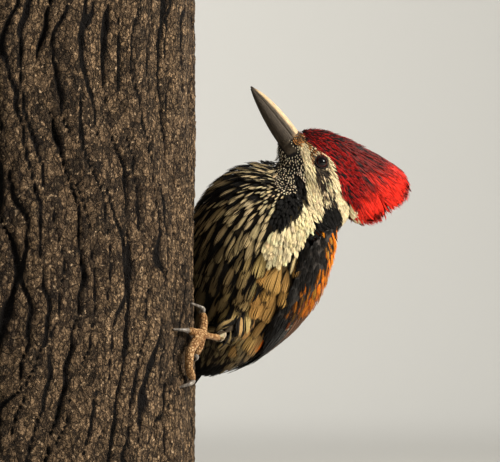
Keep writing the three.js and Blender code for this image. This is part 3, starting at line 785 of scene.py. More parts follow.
raise_surface(tree, skin, figure(tree, "ADD", figure(tree, "MULTIPLY", plates, is_scaly), wrinkles), 0.0004)
skin.inputs["Specular IOR Level"].default_value = 0.22
body_skin = add_object("skin", flesh, hide)
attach(body_skin, "root")
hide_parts(*FLESH)

# ---- Eyes ---------------------------------------------------------------------------
# Each eye is a glassy ball set into the skull, with a dark red-brown iris round a wide
# black pupil under the clear swelling of the cornea.

IRIS_REACH = math.radians(66)
PUPIL_REACH = math.radians(40)


def eye_mesh(centre, axis):
    """A ball with a cornea swelling along its axis; each point knows its angle from the pupil."""
    side = unit(np.cross(axis, head_ahead))
    other = np.cross(axis, side)
    points, shades, faces = [], [], []
    turns, steps = 40, 30
    for i in range(1, steps):
        polar = math.pi * i / steps
        swell = 0.12 * math.exp(-((polar / 0.5) ** 2))
        for j in range(turns):
            a = 2 * math.pi * j / turns
            out = axis * math.cos(polar) + (side * math.cos(a) + other * math.sin(a)) * math.sin(polar)
            points.append((centre + out * (EYE_RADIUS - 0.15 + swell)) * MM)
            shades.append(polar)
    for i in range(steps - 2):
        for j in range(turns):
            k = (j + 1) % turns
            faces.append((i * turns + j, (i + 1) * turns + j, (i + 1) * turns + k, i * turns + k))
    front, rear = len(points), len(points) + 1
    points += [(centre + axis * (EYE_RADIUS - 0.03)) * MM, (centre - axis * (EYE_RADIUS - 0.15)) * MM]
    shades += [0, math.pi]
    for j in range(turns):
        k = (j + 1) % turns
        faces += [(front, j, k), (rear, (steps - 2) * turns + k, (steps - 2) * turns + j)]
    mesh = bpy.data.meshes.new("eyeball")
    mesh.from_pydata(points, [], faces)
    mesh.attributes.new("from_pupil", "FLOAT", "POINT").data.foreach_set("value", shades)
    return mesh


glass, tree, skin, place = start_material("eye_glass", 0.06)
skin.inputs["Coat Weight"].default_value = 0.15
skin.inputs["Specular IOR Level"].default_value = 0.14
skin.inputs["Coat Roughness"].default_value = 0.03
reach = named(tree, "from_pupil", "Fac")
fibres = grain(tree, place, 2200, 2)
iris = mixed(tree, ramp(tree, fibres, 0.35, 0.65), shade(30, 7, 6), shade(54, 14, 10))
iris = mixed(tree, ramp(tree, reach, PUPIL_REACH - 0.04, PUPIL_REACH + 0.04), shade(5, 4, 5), iris)
feed(
    tree, skin.inputs["Base Color"],
    mixed(tree, ramp(tree, reach, IRIS_REACH - 0.2, IRIS_REACH), iris, shade(24, 14, 12))
)
feed(tree, skin.inputs["Roughness"], ramp(tree, fibres, 0.3, 0.7, 0.05, 0.09))
for name, side in (("eye_left", 1), ("eye_right", -1)):
    eyeball = add_object(name + "_ball", eye_mesh(eye_centre(side), eye_axis(side)), glass)
    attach(eyeball, "root")
    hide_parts(name)

# ---- Bill ---------------------------------------------------------------------------
# Two horn sheaths over the jaws, straight and tapering to a chisel edge. Each has a
# sharp ridge down its middle and fine grooves along it; slit nostrils open at the root.

BILL_LINE = [
    (-8, 5.6, 6, 5.6), (0, 5.4, 6, 5.6), (9, 4.8, 5.9, 5.3), (18, 3.8, 5.1, 4.2), (26, 2.4, 3.6, 2.6),
    (31, 1.2, 1.8, 1.3), (33.6, 0.2, 0.3, 0.2)
]
BILL_LENGTH = 33.6
GAPE_HEIGHT = 1.5
BILL_STEPS = 44
BILL_ROUND = 28
FLOOR_STEPS = 9


def bill_size(ahead, column):
    """One of the bill's half sizes, this far ahead of its base, with the corners of its line rounded."""
    line = np.array(BILL_LINE)
    x, y = line[:, 0], line[:, column]
    return float(
        np.interp(ahead, x, y) * 0.5 + 0.25 * (np.interp(ahead - 2, x, y) + np.interp(ahead + 2, x, y))
    )


def mandible_mesh(name, sign):
    """One sheath: sign 1 is the upper one, with its nostrils, and -1 the lower."""
    points, faces, shades = [], [], []
    last = BILL_LINE[-1][0] - (0.0 if sign > 0 else 0.9)
    for i in range(BILL_STEPS + 1):
        ahead = -7 + (last + 7) * (1 - (1 - i / BILL_STEPS) ** 1.25)
        half = bill_size(ahead, 1) * (1 if sign > 0 else 0.985)
        tall = bill_size(ahead, 2 if sign > 0 else 3)
        if sign < 0:
            half, tall = half * (1 + 0.022 * max(0, -ahead)), tall * (1 + 0.014 * max(0, -ahead))
        for j in range(BILL_ROUND):
            if j <= BILL_ROUND - FLOOR_STEPS:
                a = math.pi * j / (BILL_ROUND - FLOOR_STEPS)
                keel = math.sin(a) ** 0.92 * (1 + 0.06 * math.exp(-(((a - math.pi / 2) / 0.16) ** 2)))
                out = half * math.copysign(abs(math.cos(a)) ** 0.86, math.cos(a))
                groove = 0.16 * math.exp(-(((abs(math.cos(a)) - 0.62) / 0.07) ** 2))
                groove *= 1 - eased(ahead, 8, 26)
                nostril = ((ahead - 2.6) / 2.0) ** 2 + ((math.sin(a) - 0.66) / 0.1) ** 2
                slot = 0.55 * math.exp(-nostril) if sign > 0 else 0
                rise = tall * keel
                out -= (groove + slot) * math.copysign(1, out)
                shade_at = math.sin(a)
            else:
                out = -half + 2 * half * (j - (BILL_ROUND - FLOOR_STEPS)) / FLOOR_STEPS
                rise = 0.02
                shade_at = 0
            points.append(on_head(-ahead, out, GAPE_HEIGHT + sign * rise) * MM)
            shades.append((np.clip(ahead / BILL_LENGTH, 0, 1), shade_at, 0.0 if sign > 0 else 1.0))
    for i in range(BILL_STEPS):
        for j in range(BILL_ROUND):
            k = (j + 1) % BILL_ROUND
            here, ahead = i * BILL_ROUND, (i + 1) * BILL_ROUND
            faces.append((here + j, here + k, ahead + k, ahead + j))
    faces.append(tuple(range(BILL_ROUND)))
    faces.append(tuple(BILL_STEPS * BILL_ROUND + j for j in reversed(range(BILL_ROUND))))
    mesh = bpy.data.meshes.new(name)
    mesh.from_pydata(points, [], faces)
    whole = bmesh.new()
    whole.from_mesh(mesh)
    bmesh.ops.recalc_face_normals(whole, faces=whole.faces)
    whole.to_mesh(mesh)
    whole.free()
    places = mesh.attributes.new("horn_place", "FLOAT_VECTOR", "POINT")
    places.data.foreach_set("vector", np.array(shades).ravel())
    return mesh


horn, tree, skin, place = start_material("bill_horn", 0.36)
towards_tip, towards_ridge, is_lower = split(tree, named(tree, "horn_place", "Vector"))
streaks = grain(tree, named(tree, "horn_place", "Vector"), 1.0, 4, (9, 30, 5), 0.6)
slate = mixed(tree, ramp(tree, streaks, 0.35, 0.65), shade(40, 34, 28), shade(74, 64, 52))
pale = mixed(tree, ramp(tree, streaks, 0.35, 0.65), shade(156, 128, 94), shade(222, 196, 156))
# The upper sheath is paler towards its ridge: partly its own pale horn, partly a painted highlight where the
# light falls on its top.
pale_and_lit_ridge = ramp(tree, figure(tree, "ADD", towards_ridge, figure(tree, "MULTIPLY", streaks, 0.25)), 0.36, 0.72)
pale_and_lit_ridge = figure(tree, "MULTIPLY", pale_and_lit_ridge, figure(tree, "SUBTRACT", 1.0, is_lower))
pale_and_lit_ridge = figure(tree, "MULTIPLY", pale_and_lit_ridge, ramp(tree, towards_tip, 0.84, 0.97, 1.0, 0.25))
colour = mixed(tree, pale_and_lit_ridge, slate, pale)
root = ramp(tree, towards_tip, 0.0, 0.12, 0.55, 0.0)
root = figure(tree, "MULTIPLY", root, figure(tree, "SUBTRACT", 1.0, is_lower))
colour = mixed(tree, root, colour, shade(150, 122, 88))
feed(
    tree, skin.inputs["Base Color"],
    mixed(tree, ramp(tree, towards_tip, 0.9, 1.0), colour, shade(40, 35, 33))
)
feed(tree, skin.inputs["Roughness"], ramp(tree, streaks, 0.3, 0.7, 0.75, 0.6))
skin.inputs["Specular IOR Level"].default_value = 0.3
raise_surface(tree, skin, streaks, 0.00025)
for name, sign in (("bill_upper", 1), ("bill_lower", -1)):
    mandible = add_object(name + "_sheath", mandible_mesh(name + "_sheath", sign), horn)
    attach(mandible, "root")
    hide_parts(name)

# ---- Claws --------------------------------------------------------------------------
# Curved hooks of horn, one on each toe, mottled in soft bands of darker and paler grey.

claw_horn, tree, skin, place = start_material("claw_horn", 0.34)
bands = grain(tree, place, 700, 2, (1, 1, 0.5))
feed(
    tree, skin.inputs["Base Color"],
    mixed(tree, ramp(tree, bands, 0.35, 0.7), shade(74, 68, 64), shade(140, 132, 122))
)
feed(tree, skin.inputs["Roughness"], ramp(tree, bands, 0.3, 0.7, 0.28, 0.45))
raise_surface(tree, skin, bands, 0.0001)
for name in sorted(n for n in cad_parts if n.startswith("claw_")):
    claw = add_object(name + "_sheath", joined(name, [name], 0.0008), claw_horn)
    modifier = claw.modifiers.new("Round", "SUBSURF")
    modifier.levels = modifier.render_levels = 2
    mesh = plain_copy(claw, name + "_sheath")
    claw = add_object(name + "_sheath", mesh)
    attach(claw, "root")
    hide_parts(name)

# ---- Plumage over head, neck and body ------------------------------------------------
# Contour feathers root in the skin and lie back over each other like shingles, each a
# thin vane bowed across its shaft. They are hair-fine on the face, spotted on the
# throat, streaked with cream on the breast and golden orange over the mantle.

BODY_NODES = ["torso", "thigh_left", "thigh_right", "wing_left", "wing_right"]
COAT_FORM = ["head", "neck", *BODY_NODES]
NECK_SPRING = np.array([53, 32, 212]) + CAD_SHIFT
THROAT_MIDDLE = np.array([42, 20, 207]) + CAD_SHIFT
PATCH = 0.0042
OUTLINES = {  # stations along a vane and how wide it is at each, out of 1
    "round": ((0.12, 0.38, 0.62, 0.82, 0.94), (0.3, 0.82, 1.0, 0.88, 0.55)),
    "lance": ((0.12, 0.4, 0.66, 0.86), (0.35, 0.9, 0.95, 0.55)),
    "hair": ((0.15, 0.55, 0.85), (0.8, 1.0, 0.6)),
}
# For each place: length, width, space between roots, outline, share of the width that
# the pale middle takes, where along the vane it starts and ends, and the strands of its web.
FEATHERS = {
    "cream": (6.0, 1.0, 0.76, "hair", 1.4, -0.4, 1.5, 3),
    "puff": (7.0, 2.6, 1.6, "round", 1.4, -0.4, 1.5, 5),
    "brow": (2.6, 0.95, 0.75, "hair", 0.5, 0.35, 0.95, 2),
    "crown": (7.0, 1.1, 0.9, "hair", 0.95, 0.45, 1.3, 2),
    "ear": (6.5, 0.6, 0.56, "hair", 1.4, -0.4, 1.5, 2),
    "throat": (2.8, 1.0, 1.0, "lance", 0.6, 0.52, 0.94, 1),
    "black": (6.0, 2.2, 1.6, "round", 0.3, 0.0, 1.0, 4),
    "breast": (15.0, 5.0, 4.2, "lance", 0.5, 0.16, 0.88, 8),
    "belly": (17.0, 8.6, 6.2, "round", 0.56, 0.05, 0.88, 10),
    "flank": (14.5, 8.2, 5.8, "round", 0.7, 0.0, 0.9, 10),
    "vent": (12.0, 4.6, 3.4, "round", 0.6, 0.1, 0.86, 6),
    "mantle": (10.0, 4.4, 3.2, "round", 0.7, 0.0, 1.2, 6),
    "rump": (10.0, 4.6, 3.5, "round", 0.3, 0.0, 1.0, 4),
    "thigh": (10.0, 2.2, 1.15, "hair", 1.4, -0.4, 1.5, 3),
}
CORE = {
    "puff": shade(255, 231, 182),
    "cream": shade(255, 230, 184),
    "brow": shade(160, 112, 66),
    "crown": shade(150, 16, 14),
    "ear": shade(56, 48, 42),
    "throat": shade(204, 190, 162),
    "black": shade(17, 15, 14),
    "breast": shade(240, 220, 176),
    "belly": shade(186, 156, 102),
    "flank": shade(196, 150, 84),
    "vent": shade(142, 122, 84),
    "mantle": shade(232, 126, 22),
    "rump": shade(26, 22, 20),
    "thigh": shade(196, 182, 152),
}
EDGE = {
    "puff": shade(236, 208, 152),
    "cream": shade(232, 204, 150),
    "brow": shade(44, 32, 24),
    "crown": shade(40, 12, 14),
    "ear": shade(36, 31, 28),
    "throat": shade(11, 10, 10),
    "black": shade(9, 8, 8),
    "breast": shade(11, 10, 9),
    "belly": shade(18, 15, 12),
    "flank": shade(52, 40, 24),
    "vent": shade(44, 36, 28),
    "mantle": shade(204, 88, 14),
    "rump": shade(15, 13, 12),
    "thigh": shade(70, 56, 42),
}


def across_way(ways, normals):
    """Ways laid flat on the surface whose outward ways are given."""
    return unit(ways - (ways * normals).sum(-1, keepdims=True) * normals)


def touch(tree, points):
    """The nearest place on a form to each point: its spot, its outward way and how far off it is."""
    spots, normals, gaps = [], [], []
    for p in points:
        spot, normal, _, gap = tree.find_nearest(Vector(p))
        spots.append(spot)
        normals.append(normal)
        gaps.append(gap)
    return np.array(spots), np.array(normals), np.array(gaps)


def lie_of_coat(points, labels):
    """The way the feathers point: back over the head, then out from the throat and down the body."""
    back, _, _, level = along_head(points)
    at, _, way = along_body(points)
    lean = np.interp(level, (-6, 0, 5, 10, 14), (-0.5, -0.42, -0.24, -0.16, 0.15))[:, None]
    over_head = -head_ahead + lean * head_up
    out = unit(points - NECK_SPRING)
    down = eased(at, 14, 52)[:, None]
    over_body = unit(out * (1 - down) + way * (0.08 + 0.92 * down))
    share = eased(back, 24, 42)[:, None]
    share = np.where(np.isin(labels, ("head", "crest"))[:, None], share * 0.35, np.maximum(share, 0.35))
    share = np.where(np.isin(labels, BODY_NODES)[:, None], 1, share)
    ways = unit(over_head * (1 - share) + over_body * share)
    for side, foot in zip(("left", "right"), FEET):
        pull = 1.3 * (1 - eased(np.linalg.norm(foot - points, axis=1), 12, 32)[:, None])
        ways = np.where((labels == "thigh_" + side)[:, None], ways + pull * unit(foot - points), ways)
    return unit(ways)


def growth(points):
    """How much of their full size the breast's feathers have: they grow down and away from the throat."""
    return np.interp(
        np.linalg.norm(points - THROAT_MIDDLE, axis=1), (8, 15, 25, 50), (0.4, 0.66, 0.98, 1.12)
    )


CELLS_ROUND = list(itertools.product((-1, 0, 1), repeat=3))


def crowded(p, space, points, grid, key):
    """Whether any point already kept in the cells round p lies nearer to it than its spacing."""
    for dx, dy, dz in CELLS_ROUND:
        for other in grid.get((key[0] + dx, key[1] + dy, key[2] + dz), ()):
            d = p - points[other]
            if d[0] * d[0] + d[1] * d[1] + d[2] * d[2] < space**2:
                return True
    return False


def thinned(points, spaces, rng):
    """Picks points at random, none nearer to another than its own spacing."""
    cell = float(spaces.max())
    kept, grid = [], {}
    for i in rng.permutation(len(points)):
        key = tuple((points[i] // cell).astype(int))
        if not crowded(points[i], spaces[i], points, grid, key):
            kept.append(i)
            grid.setdefault(key, []).append(i)
    return np.array(kept)


def strewn(mesh, count, rng):
    """Points spread evenly at random over a mesh."""
    mesh.calc_loop_triangles()
    corners = np.empty(len(mesh.loop_triangles) * 3, int)
    mesh.loop_triangles.foreach_get("vertices", corners)
    a, b, c = (corners_of(mesh)[corners.reshape(-1, 3)[:, k]] / MM for k in range(3))
    area = np.linalg.norm(np.cross(b - a, c - a), axis=1)
    pick = rng.choice(len(area), count, p=area / area.sum())
    u, v = rng.random((2, count, 1))
    flip = u + v > 1
    u, v = np.where(flip, 1 - u, u), np.where(flip, 1 - v, v)
    return a[pick] + u * (b - a)[pick] + v * (c - a)[pick]


def lay_lines(tree, roots, ways, length, outline, lie, depth=2.0, rise=0.5, cling=1.0, sweep=0.4):
    """Each feather's shaft from its root over a form, station by station, and the outward way at each."""
    stations = OUTLINES[outline][0]
    spots, normals, _ = touch(tree, roots)
    ways = across_way(ways, normals)
    line, outs = [spots], [normals]
    last, here = 0.0, spots
    for s in (*stations, 1.0):
        ahead = here + ways * ((s - last) * length)[:, None]
        spots, normals, gaps = touch(tree, ahead)
        normals = unit(normals * 0.6 + outs[-1] * 0.4)
        hold = cling * np.clip(1.5 - gaps / 3, 0, 1)[:, None]
        here = spots * hold + ahead * (1 - hold)
        ways = across_way(unit(ways * (1 - sweep) + lie(here) * sweep), normals)
        line.append(here)
        outs.append(normals)
        last = s
    line, outs = np.stack(line, 1), np.stack(outs, 1)
    along = np.array((0.0, *stations, 1.0))
    height = np.reshape(rise, (-1, 1)) * along**2 - depth * (1 - along) ** 1.4
    return line + outs * height[:, :, None], outs


def at_station(values, along, where):
    """Values given at stations, read at any way along each feather."""
    i = np.clip(np.searchsorted(along, where) - 1, 0, len(along) - 2)
    t = ((where - along[i]) / (along[i + 1] - along[i]))[:, None]
    row = np.arange(len(where))
    return values[row, i] * (1 - t) + values[row, i + 1] * t


def split_vanes(
    shaft, outs, width, outline, strands, rng, bow=0.3, notch=0.14, ragged=0.12, roll=0.08, stray=0.12
):
    """Webs for every shaft, parted into strands that stray and end unevenly, as a feather's barbs do."""
    stations, shares = OUTLINES[outline]
    along = np.array((0.0, *stations, 1.0))
    count = len(shaft)
    run = unit(np.gradient(shaft, axis=1))
    side = unit(unit(np.cross(outs, run)) + outs * (roll * rng.normal(size=(count, 1, 1))))
    corners, station, spread, outward = [], [], [], []
    for j in range(strands):
        several = strands > 1
        middle = (2 * j + 1) / strands - 1
        half = 1 / strands * (1.18 if several else 1)
        reach = 1 - notch * middle**2 - ragged * rng.random(count) * several
        lift = 0.1 * width * rng.random(count) * several
        sway = stray * rng.normal(size=count) * several
        mottle = stray * rng.normal(size=(2, count)) * several
        rows, ways_out = [shaft[:, 0]], [outs[:, 0]]
        ways_along, ways_across = [np.zeros(count)], [np.zeros(count)]
        for s in stations:
            here = s * reach
            point, out, over = (at_station(v, along, here) for v in (shaft, outs, side))
            wide = np.interp(here, along, (0.25, *shares, 0.12)) * width / 2
            taper = np.interp(s, (0.45, 1), (1, 0.5))
            for edge in (-1, 0, 1):
                place = middle * (1 - 0.12 * (1 - s)) + sway * s * s + edge * half * taper
                droop = bow * place * place * wide + (0.22 * half * wide if edge else 0.0) - lift * s
                rows.append(point + over * (place * wide)[:, None] - out * droop[:, None])
                ways_along.append(here + 0.5 * mottle[0])
                ways_across.append(place + mottle[1])
                ways_out.append(out + over * (0.4 * place)[:, None])
        wide = np.interp(reach, along, (0.25, *shares, 0.12)) * width / 2
        point, out, over = (at_station(v, along, reach) for v in (shaft, outs, side))
        place = middle + sway
        rows.append(point + over * (place * wide)[:, None] - out * (bow * place**2 * wide - lift)[:, None])
        ways_along.append(reach + 0.5 * mottle[0])
        ways_across.append(place + mottle[1])
        ways_out.append(out)
        for kept, rows_of in (
            (corners, rows), (station, ways_along), (spread, ways_across), (outward, ways_out)
        ):
            kept.append(np.stack(rows_of, 1))
    return [np.concatenate(v) for v in (corners, station, spread, outward)]


def vane_faces(rings):
    """The faces of one vane, closed underneath: a point, rings of three corners, and a tip."""
    faces = [(0, 1, 2), (0, 2, 3), (0, 3, 1)]
    for k in range(rings - 1):
        a, b = 1 + 3 * k, 4 + 3 * k
        faces += [(a, b, b + 1, a + 1), (a + 1, b + 1, b + 2, a + 2), (a + 2, b + 2, b, a)]
    a, tip = 1 + 3 * (rings - 1), 1 + 3 * rings
    return faces + [(a, tip, a + 1), (a + 1, tip, a + 2), (a + 2, tip, a)]


def coat_piece(name, batches, material):
    """Joins batches of vanes in one mesh with their colours and their map."""
    points, faces, core, edge, streak, vane, ways_out, maps = [], [], [], [], [], [], [], []
    first = 0
    for webs, one_core, one_edge, one_streak, root_map, patch, luck in batches:
        corners, station, spread, outward = webs
        count, each = corners.shape[:2]
        strands = count // len(luck)
        one_core, one_edge, one_streak, root_map = (
            np.tile(v, (strands, 1)) for v in (one_core, one_edge, one_streak, root_map)
        )
        luck = np.tile(luck, strands)
        template = vane_faces((each - 2) // 3)
        offset = first + np.arange(count)[:, None] * each
        for face in template:
            faces.append((offset + np.array(face), face))
        points.append(corners.reshape(-1, 3))
        core.append(np.repeat(one_core, each, 0))
        edge.append(np.repeat(one_edge, each, 0))
        streak.append(np.repeat(one_streak, each, 0))
        vane.append(np.stack([station, spread, np.tile(luck[:, None], (1, each))], -1).reshape(-1, 3))
        ways_out.append(unit(outward).reshape(-1, 3))
        local = np.clip(np.stack([spread * 0.5, station - 0.5], -1), -0.5, 0.5)
        maps.append((root_map[:, None] + local * patch).reshape(-1, 2))
        first += count * each
    points, vane, maps = np.concatenate(points), np.concatenate(vane), np.concatenate(maps)
    loops = np.concatenate([f.ravel() for f, _ in faces])
    totals = np.concatenate([np.full(len(f), len(face)) for f, face in faces])
    mesh = bpy.data.meshes.new(name)
    mesh.vertices.add(len(points))
    mesh.vertices.foreach_set("co", (points * MM).ravel())
    mesh.loops.add(len(loops))
    mesh.loops.foreach_set("vertex_index", loops)
    mesh.polygons.add(len(totals))
    mesh.polygons.foreach_set("loop_start", np.concatenate([[0], np.cumsum(totals)[:-1]]))
    mesh.update(calc_edges=True)
    mesh.validate()
    mesh.uv_layers.new(name="OFBake").data.foreach_set("uv", maps[loops].ravel())
    for label, kind, key, values in (
        ("core_tint", "FLOAT_COLOR", "color", np.concatenate(core)),
        ("edge_tint", "FLOAT_COLOR", "color", np.concatenate(edge)),
        ("streak", "FLOAT_VECTOR", "vector", np.concatenate(streak)),
        ("vane", "FLOAT_VECTOR", "vector", vane),
        ("lie_out", "FLOAT_VECTOR", "vector", np.concatenate(ways_out)),
    ):
        mesh.attributes.new(label, kind, "POINT").data.foreach_set(key, values.ravel())
    piece = add_object(name, mesh, material)
    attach(piece, "root")
    return piece


def vane_group():
    """How every vane is painted: a pale middle between darker webs, with barbs across it."""
    group = bpy.data.node_groups.new("vane_paint", "ShaderNodeTree")
    for label, value in (("Barbs", 16.0), ("Barb Depth", 0.16), ("Soft Edge", 0.14)):
        socket = group.interface.new_socket(label, in_out="INPUT", socket_type="NodeSocketFloat")
        socket.default_value = value
    group.interface.new_socket("Color", in_out="OUTPUT", socket_type="NodeSocketColor")
    group.interface.new_socket("Height", in_out="OUTPUT", socket_type="NodeSocketFloat")
    given, result = group.nodes.new("NodeGroupInput").outputs, group.nodes.new("NodeGroupOutput").inputs
    along, across, luck = split(group, named(group, "vane", "Vector"))
    reach, start, end = split(group, named(group, "streak", "Vector"))
    off = figure(group, "ABSOLUTE", across)
    place = group.nodes.new("ShaderNodeTexCoord").outputs["Object"]
    fray = figure(group, "MULTIPLY", grain(group, place, 1400, 2), 0.2)
    off = figure(group, "ADD", off, figure(group, "SUBTRACT", fray, 0.1))
    past = figure(group, "SUBTRACT", off, reach)
    inside = ramp(group, past, figure(group, "MULTIPLY", given[2], -1.0), given[2], 1.0, 0.0)
    inside = figure(
        group, "MULTIPLY", inside, ramp(group, figure(group, "SUBTRACT", along, start), -0.07, 0.07)
    )
    inside = figure(
        group, "MULTIPLY", inside, ramp(group, figure(group, "SUBTRACT", end, along), -0.06, 0.06)
    )
    tone = mixed(group, inside, named(group, "edge_tint"), named(group, "core_tint"))
    slant = figure(group, "SUBTRACT", along, figure(group, "MULTIPLY", off, 0.3))
    barb = figure(group, "MULTIPLY", slant, figure(group, "MULTIPLY", given[0], 2 * math.pi))
    barb = figure(group, "SINE", barb)
    shaft = ramp(group, off, 0.02, 0.12, 1.0, 0.0)
    dim = figure(group, "ADD", 0.5, figure(group, "MULTIPLY", barb, 0.5))
    dim = figure(group, "SUBTRACT", 1.0, figure(group, "MULTIPLY", given[1], dim))
    dim = figure(group, "MULTIPLY", dim, figure(group, "ADD", 0.84, figure(group, "MULTIPLY", luck, 0.3)))
    dim = figure(group, "MULTIPLY", dim, ramp(group, along, 0.1, 0.55, 0.8, 1.0))
    grey = group.nodes.new("ShaderNodeCombineXYZ")
    for socket in grey.inputs:
        group.links.new(dim, socket)
    group.links.new(mixed(group, 1.0, tone, grey.outputs[0], "MULTIPLY"), result["Color"])
    group.links.new(figure(group, "ADD", figure(group, "MULTIPLY", barb, 0.5), shaft), result["Height"])
    return group


vane_paint = vane_group()


def soften(tree, skin, share):
    """Turns a web's shading towards the way the coat faces: its barbs are finer than its mesh."""
    normal = tree.nodes.new("ShaderNodeNewGeometry").outputs["Normal"]
    both = tree.nodes.new("ShaderNodeMix")
    both.data_type = "VECTOR"
    both.inputs["Factor"].default_value = share
    tree.links.new(normal, both.inputs[4])
    tree.links.new(named(tree, "lie_out", "Vector"), both.inputs[5])
    made = tree.nodes.new("ShaderNodeVectorMath")
    made.operation = "NORMALIZE"
    tree.links.new(both.outputs[1], made.inputs[0])
    tree.links.new(made.outputs[0], skin.inputs["Normal"].links[0].from_node.inputs["Normal"])


def feather_material(name, barbs, depth, soft=0.14, roughness=0.72, sheen=0.03, blend=0.72):
    """A feather's finish: the vane's paint, low gloss, and shading evened over the coat."""
    made, tree, skin, place = start_material(name, roughness)
    paint = tree.nodes.new("ShaderNodeGroup")
    paint.node_tree = vane_paint
    paint.inputs["Barbs"].default_value = barbs
    paint.inputs["Barb Depth"].default_value = depth
    paint.inputs["Soft Edge"].default_value = soft
    feed(tree, skin.inputs["Base Color"], paint.outputs["Color"])
    skin.inputs["Sheen Weight"].default_value = sheen
    skin.inputs["Sheen Roughness"].default_value = 0.5
    skin.inputs["Specular IOR Level"].default_value = 0.12
    raise_surface(tree, skin, paint.outputs["Height"], 0.00012, 0.6)
    soften(tree, skin, blend)
    return made


coat_form = remeshed("coat_form", joined("coat_form", COAT_FORM), 0.0011)
shape = settle(coat_form, corners_of(coat_form), 5, 0.6)
coat_form.vertices.foreach_set("co", settle(coat_form, shape, 40, near_thigh(shape / MM)).ravel())
coat_form.update()
form_tree = tree_of(coat_form)
crown_form = remeshed("crown_form", joined("crown_form", ["head", "neck", "crest"]), 0.0011)
near_front = np.interp(along_head(corners_of(crown_form) / MM)[0], (30, 44), (0.6, 0.2))
crown_form.vertices.foreach_set("co", settle(crown_form, corners_of(crown_form), 16, near_front).ravel())
crown_form.update()
crown_tree = tree_of(crown_form)
mapper = add_object("mapper", coat_form, smooth=False)
bpy.context.view_layer.objects.active = mapper
mapper.select_set(True)
bpy.ops.object.mode_set(mode="EDIT")
bpy.ops.mesh.select_all(action="SELECT")
bpy.ops.uv.smart_project(angle_limit=math.radians(66), island_margin=0.004)
bpy.ops.object.mode_set(mode="OBJECT")


unwrap_spots = np.empty(len(coat_form.loops) * 2)
coat_form.uv_layers.active.data.foreach_get("uv", unwrap_spots)
unwrap_spots = unwrap_spots.reshape(-1, 2)


def root_map(points):
    """Each root's spot on the unwrap of the skin's own shape."""
    out = []
    for p in points:
        _, _, face, _ = form_tree.find_nearest(Vector(p))
        polygon = coat_form.polygons[face]
        pull = [
            1 / (1e-3 + ((coat_form.vertices[v].co / MM - Vector(p)).length) ** 2) for v in polygon.vertices
        ]
        spots = unwrap_spots[polygon.loop_start:polygon.loop_start + polygon.loop_total]
        out.append((spots * np.array(pull)[:, None]).sum(0) / sum(pull))
    return np.clip(np.array(out), PATCH, 1 - PATCH)


rng = np.random.default_rng(11)
seeds, fine_seeds = strewn(coat_form, 90000, rng), strewn(coat_form, 240000, rng)
back, left, up, level = along_head(fine_seeds)
on_face = (back > -6) & (back < 42) & (np.hypot(left, up) < 26)
seeds = np.concatenate([seeds, fine_seeds[on_face]])
seed_labels = np.concatenate([nearest_nodes(chunk, COAT_FORM) for chunk in np.array_split(seeds, 8)])
seeds, seed_labels = (x[~np.isin(seed_labels, ("wing_left", "wing_right"))] for x in (seeds, seed_labels))
seed_places = markings(seeds, seed_labels)
spaces = np.array([FEATHERS.get(n, (0, 0, 0))[2] for n in PLACES])[seed_places]
seeds, seed_labels, seed_places, spaces = (x[spaces > 0] for x in (seeds, seed_labels, seed_places, spaces))
spaces = spaces * np.where(seed_places == PLACES.index("breast"), growth(seeds), 1)
spaces = spaces * np.where(spaces > 2, 0.75 + 0.5 * rng.random(len(spaces)), 1)
fine = spaces < 1.2
chosen = []
for group in (fine, ~fine):
    where = np.flatnonzero(group)
    chosen.append(where[thinned(seeds[where], spaces[where], rng)])
chosen = np.concatenate(chosen)
roots, root_labels, root_places = seeds[chosen], seed_labels[chosen], seed_places[chosen]


def turned(ways, normals, angles):
    """Ways turned about the outward direction by each one's angle."""
    return ways * np.cos(angles)[:, None] + np.cross(normals, ways) * np.sin(angles)[:, None]


def varied(colour, count, rng, spread=0.12, warm=0.05):
    """A colour, each copy a little lighter or darker, and a little warmer or cooler."""
    tone = 1 + spread * rng.normal(size=(count, 1))
    tilt = np.stack(
        [1 + warm * rng.normal(size=count), np.ones(count), 1 - warm * rng.normal(size=count)], 1
    )
    out = np.ones((count, 4))
    out[:, :3] = np.clip(np.array(colour[:3]) * tone * tilt, 0.003, 0.95)
    return out


